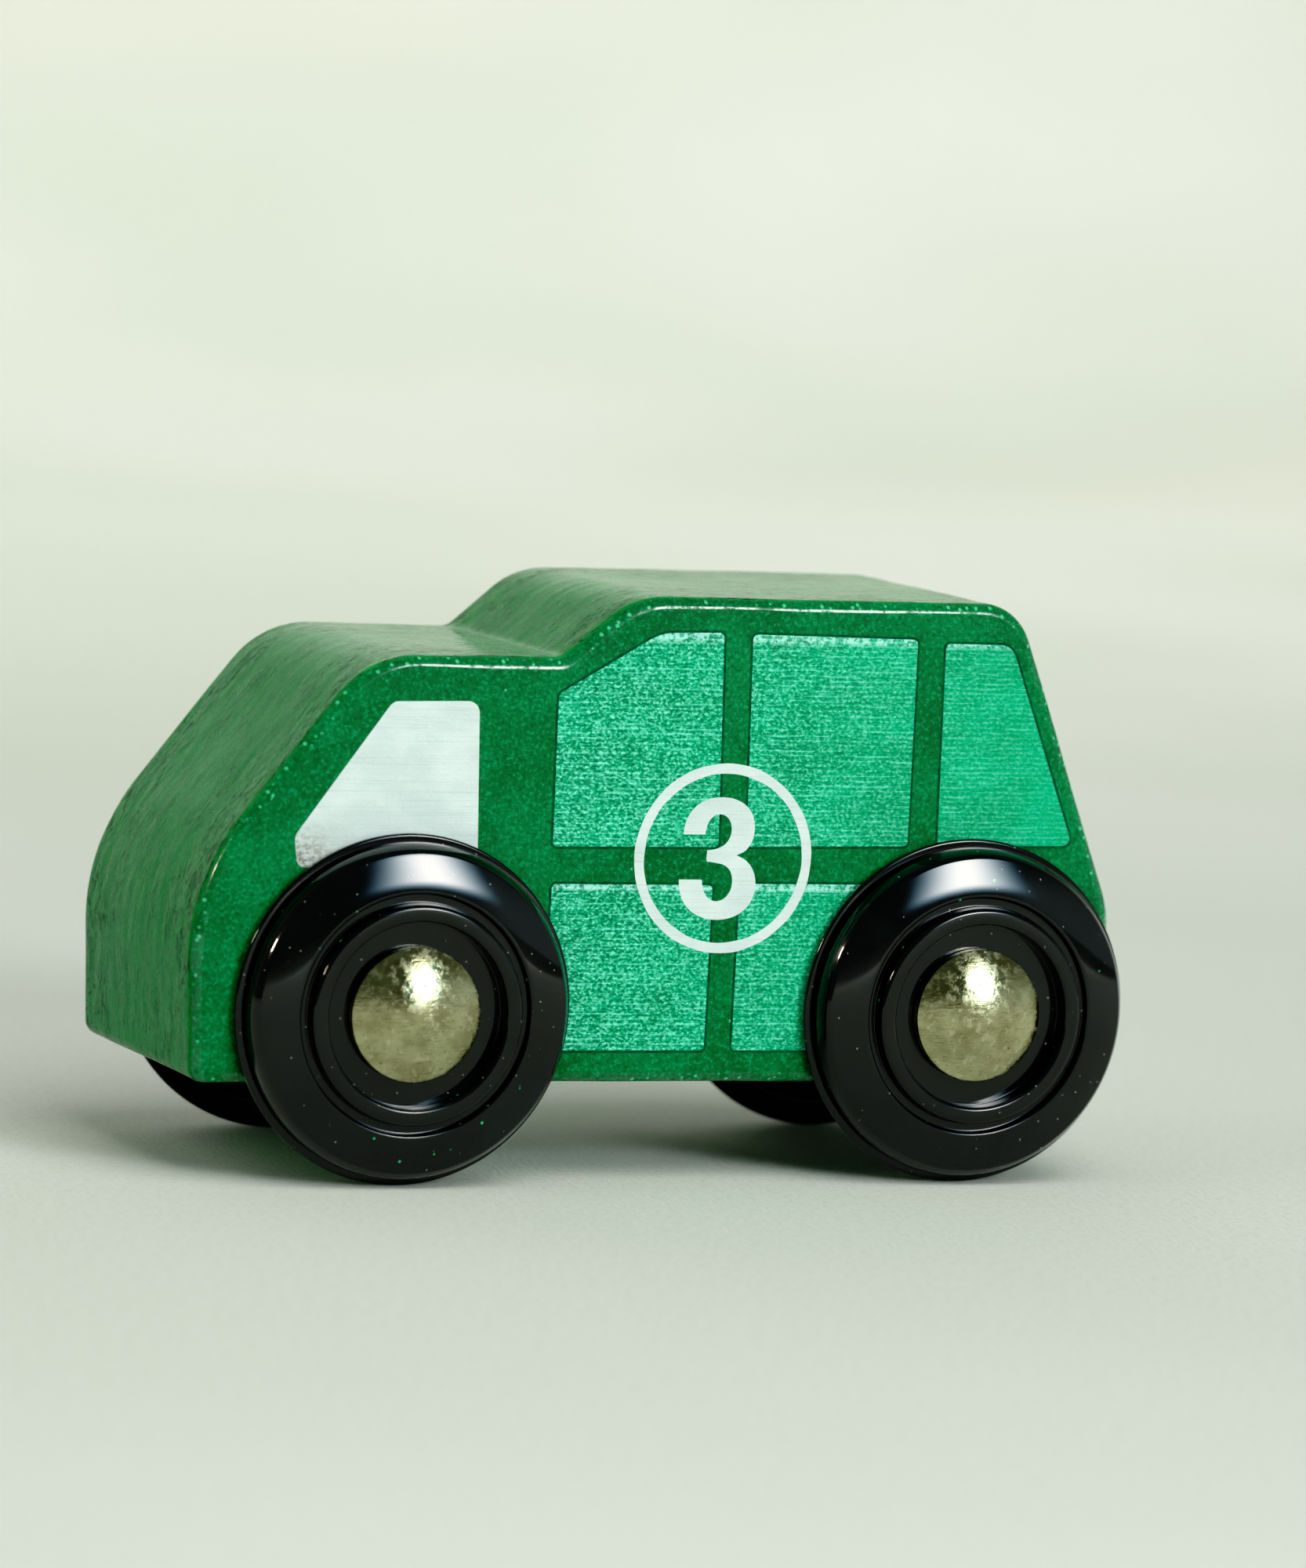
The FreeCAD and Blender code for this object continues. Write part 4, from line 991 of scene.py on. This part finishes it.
def build_prints(green, white, rim):
    for side, tag in ((1, "left"), (-1, "right")):
        for name, corners in GREEN_PANELS.items():
            edge = panel_outline(grown(corners, RIM_BLEED))
            film("%s_rim_%s" % (name, tag), edge, side, RIM_LIFT, rim)
            outline = panel_outline(corners)
            film("%s_%s" % (name, tag), outline, side, GREEN_LIFT, green)
        outline = panel_outline(WHITE_WINDOW)
        film("front_window_" + tag, outline, side, WINDOW_LIFT, white)
        ring_film("number_ring_" + tag, side, NUMBER_LIFT, white)
        # the reader's right is the tail on the left side and the nose on the right side
        figure = [
            (
                RING_X + THREE_AHEAD * side - side * u * THREE_WIDEN,
                RING_Z + THREE_UP + v * THREE_HEIGHTEN,
            )
            for u, v in curve_through(THREE, THREE_SHARP)
        ]
        film("number_three_" + tag, figure, side, NUMBER_LIFT, white, step=1.2)


# ------------------------------------------------------------------ wheels and caps

WHEEL_INNER_Y = 11.85
# wheel section: y, r, and for a point reached by an arc its radius and steps
WHEEL_SECTION = [
    (13.95, 6.1), (15.05, 6.1), (15.3, 6.35, 0.25, 7), (15.3, 6.9), (15.0, 7.2, 0.3, 7),
    (14.3, 7.28), (14.3, 7.8), (14.7, 7.85), (14.83, 8.02, 0.2, 5),
    (14.27, 10.45, 12.0, 18), (13.0, 10.97, 1.8, 14), (12.8, 11.0), (12.72, 11.0),
    (12.66, 10.85), (12.44, 10.85), (12.42, 11.32), (12.24, 11.5, 0.18, 7), (12.18, 11.5),
    (12.0, 11.32, 0.18, 7), (12.0, 9.7), (12.4, 9.7), (13.2, 8.4), (13.2, 3.0),
]

# domed cap: its outer radius, dome height, and y of its foot and of the dome's edge
CAP_RADIUS, CAP_RISE, CAP_FOOT, CAP_LIP = 4.4, 1.2, 14.0, 14.75
CAP_SPHERE = (CAP_RADIUS ** 2 + CAP_RISE ** 2) / (2 * CAP_RISE)
CAP_TOP = CAP_LIP + CAP_RISE
CAP_BORE, CAP_BORE_END = 1.02, 15.3  # blind hole for the axle: radius, y of its end
CAP_STEPS = 44

# node, axle x, side, bore radius, body it rides
WHEELS = [
    ("front_left_wheel", FRONT_AXLE_X, 1, 1.06, "front_left_wheel"),
    ("front_right_wheel", FRONT_AXLE_X, -1, 1.06, "front_right_wheel"),
    ("rear_left_wheel", REAR_AXLE_X, 1, 1.01, "rear_wheelset"),
    ("rear_right_wheel", REAR_AXLE_X, -1, 1.01, "rear_wheelset"),
]
# node, axle x, side, body it rides
CAPS = [
    ("front_left_axle_cap", FRONT_AXLE_X, 1, "front_axle_set"),
    ("front_right_axle_cap", FRONT_AXLE_X, -1, "front_axle_set"),
    ("rear_left_axle_cap", REAR_AXLE_X, 1, "rear_wheelset"),
    ("rear_right_axle_cap", REAR_AXLE_X, -1, "rear_wheelset"),
]


def wheel_profile(bore):
    out = [(WHEEL_INNER_Y, bore), (13.95, bore)]
    for y, r, *bulge in WHEEL_SECTION:
        if bulge:
            out += arc(out[-1], (y, r), *bulge)
        out.append((y, r))
    out.append((WHEEL_INNER_Y, 3.0))
    return softened(out, 0.045)


def cap_profile():
    out = [(CAP_FOOT, CAP_BORE), (CAP_FOOT, 4.3), (CAP_FOOT + 0.1, CAP_RADIUS)]
    out.append((CAP_LIP, CAP_RADIUS))
    full = math.asin(CAP_RADIUS / CAP_SPHERE)
    for k in range(1, CAP_STEPS):
        a = full * (1 - k / CAP_STEPS)
        out.append((CAP_TOP - CAP_SPHERE * (1 - math.cos(a)), CAP_SPHERE * math.sin(a)))
    out += [(CAP_TOP, 0.0), (CAP_BORE_END, 0.0), (CAP_BORE_END, CAP_BORE)]
    return softened(out, 0.11)


def cap_dents(seed):
    """Shallow dents on the dome, fading to nothing at its edge."""

    def dents(y, r, a):
        in_bore = r < CAP_BORE + 0.01 and y < CAP_BORE_END + 0.05
        if y < CAP_LIP + 0.02 or in_bore:
            return 0.0
        u, v = r * math.cos(a), r * math.sin(a)
        fade = max(0.0, 1 - (r / 4.35) ** 4)
        depth = noise.noise(Vector((u / 1.9 + seed, v / 1.9, seed))) * 0.014
        depth += noise.noise(Vector((u / 0.8, v / 0.8 - seed, seed))) * 0.004
        return (depth - 0.014) * fade

    return dents


def build_wheels(plastic, metal):
    for node, x, side, bore, body in WHEELS:
        profile = wheel_profile(bore)
        ob = lathe(node + "_turned", profile, x, side, plastic, segments=192, sharp=32.0)
        attach(ob, body, node)
    for i, (node, x, side, body) in enumerate(CAPS):
        dents = cap_dents(seed=3.1 * i + 1.7)
        profile = cap_profile()
        ob = lathe(
            node + "_pressed", profile, x, side, metal, segments=144, sharp=40.0, shape=dents
        )
        attach(ob, body, node)


# ------------------------------------------------------------------ build

paint = paint_material()
wood = raw_wood_material()
green = green_print_material()
white = white_print_material()
black = wheel_material()
nickel = cap_material()

build_body(paint, wood)
build_prints(green, white, rim_print_material())
build_wheels(black, nickel)

# CAD pieces that keep their meshes
axle = metal_material(
    "axle_steel", rgb(200, 198, 192), rgb(150, 148, 142), rough=0.24, mm=(0.5, 6.0, 0.5)
)
spring = metal_material(
    "spring_steel", rgb(150, 160, 176), rgb(96, 104, 122), rough=0.3, mm=(3.0, 0.3, 3.0)
)
screw = metal_material(
    "screw_steel", rgb(190, 188, 180), rgb(136, 132, 124), rough=0.3, mm=0.6
)
gear = plastic_material(
    "gear_plastic", rgb(226, 222, 206), rgb(210, 204, 184), rough=0.42, grain_mm=0.18,
    translucent=0.15,
)
motor = plastic_material(
    "motor_plastic", rgb(34, 36, 40), rgb(46, 48, 52), rough=0.46, grain_mm=0.2
)

NODES_BY_MATERIAL = (
    (axle, "front_axle rear_axle transfer_gear_pin spring_arbor winding_idler_shaft"),
    (spring, "mainspring"),
    (screw, "motor_mounting_screws motor_case_screws"),
    (gear, "axle_pinion transfer_gear spring_gear winding_idler"),
    (motor, "motor_case_left motor_case_right"),
)
for mat, names in NODES_BY_MATERIAL:
    for name in names.split():
        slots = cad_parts[name].data.materials
        slots.clear()
        slots.append(mat)


# ------------------------------------------------------------------ stage (metres)

SWEEP_START, SWEEP_RADIUS, SWEEP_STEPS = -0.7, 0.45, 18


def cyclorama(mat):
    """Floor that sweeps up into a backdrop on the -y side and rises gently far out on the +y side."""
    path = [
        (2.6, 0.17), (1.9, 0.10), (1.4, 0.045), (1.1, 0.015), (0.85, 0.0), (0.6, 0.0),
        (0.3, 0.0), (0.1, 0.0), (-0.1, 0.0), (-0.4, 0.0), (SWEEP_START, 0.0),
    ]  # y, z
    for k in range(1, SWEEP_STEPS + 1):
        a = math.pi / 2 * k / SWEEP_STEPS
        path.append(
            (SWEEP_START - SWEEP_RADIUS * math.sin(a), SWEEP_RADIUS * (1 - math.cos(a)))
        )
    wall = SWEEP_START - SWEEP_RADIUS
    path += [(wall, 0.8), (wall, 1.4)]
    xs = [-2.6, -1.2, -0.5, -0.2, 0.0, 0.2, 0.5, 1.2, 2.6]
    verts = [(x, y, z) for y, z in path for x in xs]
    faces = []
    w = len(xs)
    for r in range(len(path) - 1):
        for c in range(w - 1):
            faces.append((r * w + c, (r + 1) * w + c, (r + 1) * w + c + 1, r * w + c + 1))
    ob = mesh_object("cyclorama", verts, faces, mat)
    shade(ob, 60.0)


def area(name, direction, distance, size, power, colour, target=(0, 0, 0.015)):
    """An area light at a distance from the target, facing it."""
    away = Vector(direction).normalized()
    data = bpy.data.lights.new(name, "AREA")
    data.shape = "RECTANGLE"
    data.size, data.size_y = size
    data.energy = power
    data.color = colour
    ob = bpy.data.objects.new(name, data)
    ob.location = Vector(target) + away * distance
    ob.rotation_mode = "QUATERNION"
    ob.rotation_quaternion = away.to_track_quat("Z", "Y")
    scene.collection.objects.link(ob)
    return ob


def soft_edge(ob, core_u, core_v, inner, outer):
    """Full strength in the middle of the panel, fading to nothing and to another colour at its borders."""
    ob.data.use_nodes = True
    tree = Tree(ob.data.node_tree, "ShaderNodeNewGeometry", "Parametric")
    u, v, _ = tree.split(tree.place)
    fade_u = abs(u * 2.0 - 1.0).ramp(span=(1.0, core_u))
    fade_v = abs(v * 2.0 - 1.0).ramp(span=(1.0, core_v))
    fade = fade_u * fade_v
    colour = tree.mix(fade, outer, inner)
    tree.finish("Light", "Emission", Color=colour, Strength=fade ** 1.5)


def build_lights():
    key_side = (-0.354, 0.877, 0.35)
    key = area(
        "key_softbox", key_side, distance=0.95, size=(0.52, 0.44), power=15.7,
        colour=(1.0, 1.0, 1.0),
    )
    soft_edge(key, core_u=0.05, core_v=0.5, inner=(1.0, 0.99, 0.96), outer=(0.22, 0.6, 0.85))
    fills = (
        area(
            "key_fill", key_side, distance=0.95, size=(0.4, 0.4), power=2.0,
            colour=(1.0, 1.0, 0.97),
        ),
        area(
            "top_fill", (-0.10, 0.52, 0.85), distance=1.1, size=(0.8, 0.8), power=6.8,
            colour=(1.0, 1.0, 0.97),
        ),
        area(
            "nose_fill", (0.80, 0.05, 0.55), distance=0.9, size=(0.6, 0.6), power=1.4,
            colour=(0.98, 1.0, 0.96),
        ),
        area(
            "backdrop_wash", (0.0, 0.93, 0.36), distance=1.0, size=(2.4, 0.5), power=11.4,
            colour=(1.0, 1.0, 0.95), target=(0, -1.3, 0.36),
        ),
    )
    for ob in fills:
        ob.visible_glossy = False
        ob.visible_camera = False
    # seen only as a reflection
    strip = area(
        "nose_strip", (0.90, 0.05, 0.42), distance=0.8, size=(0.05, 0.09), power=1.4,
        colour=(1.0, 0.84, 0.64),
    )
    strip.visible_diffuse = False


def set_tone():
    """Deep blacks, like a contrasty print."""
    view = scene.view_settings
    view.view_transform = "Standard"
    view.look = "None"
    view.use_curve_mapping = True
    tone = view.curve_mapping.curves[3]  # the combined curve
    for u, v in ((0.012, 0.002), (0.03, 0.010), (0.06, 0.040), (0.12, 0.106), (0.45, 0.46)):
        tone.points.new(u, v)
    view.curve_mapping.update()


def build_world():
    world = bpy.data.worlds.new("room")
    scene.world = world
    world.use_nodes = True
    tree = Tree(world.node_tree, output="Generated")
    x, y, z = tree.split(tree.place)
    # dim room, pale behind the car
    behind = y.ramp(span=(-0.15, -0.7))
    colour = tree.mix(behind, (0.14, 0.165, 0.145), (0.80, 0.82, 0.76))
    # a pale room edge low down on the tail side
    edge = x.ramp(span=(-0.3, -0.65)) * z.ramp(span=(0.5, 0.1))
    colour = colour.toward((0.60, 0.70, 0.68), by=edge * y.ramp(span=(-0.15, 0.05)))
    tree.finish("World", "Background", Color=colour, Strength=0.9)


def aim_camera():
    """Half a metre away, a little ahead of the left side, slightly above, rolled a few degrees."""
    azimuth, elevation, roll = math.radians(21.78), math.radians(6.87), math.radians(3.06)
    target = Vector((-0.0016, 0.0, 0.0155))
    distance = 0.52802
    # slopes that leave the target a little left of and below the middle of the view
    slope_right, slope_up = 0.003655259, 0.01793486
    back = Vector(
        (
            math.sin(azimuth) * math.cos(elevation),
            math.cos(azimuth) * math.cos(elevation),
            math.sin(elevation),
        )
    )
    place = target + back * distance
    ahead = -back
    level = ahead.cross(Vector((0, 0, 1))).normalized()
    upright = level.cross(ahead)
    right = level * math.cos(roll) + upright * math.sin(roll)
    up = upright * math.cos(roll) - level * math.sin(roll)
    look = (ahead + right * slope_right + up * slope_up).normalized()
    x = (right - look * right.dot(look)).normalized()
    y = x.cross(look)
    cam = bpy.data.cameras.new("camera")
    cam.sensor_width = 36.0
    cam.lens = 180.8244
    cam.clip_start, cam.clip_end = 0.01, 20.0
    cam.dof.use_dof = True
    cam.dof.focus_distance = 0.5165
    cam.dof.aperture_fstop = 34.0
    ob = bpy.data.objects.new("camera", cam)
    rows = [(x[i], y[i], -look[i], place[i]) for i in range(3)]
    ob.matrix_world = Matrix((*rows, (0, 0, 0, 1)))
    scene.collection.objects.link(ob)
    scene.camera = ob


cyclorama(floor_material())
build_lights()
set_tone()
build_world()
aim_camera()
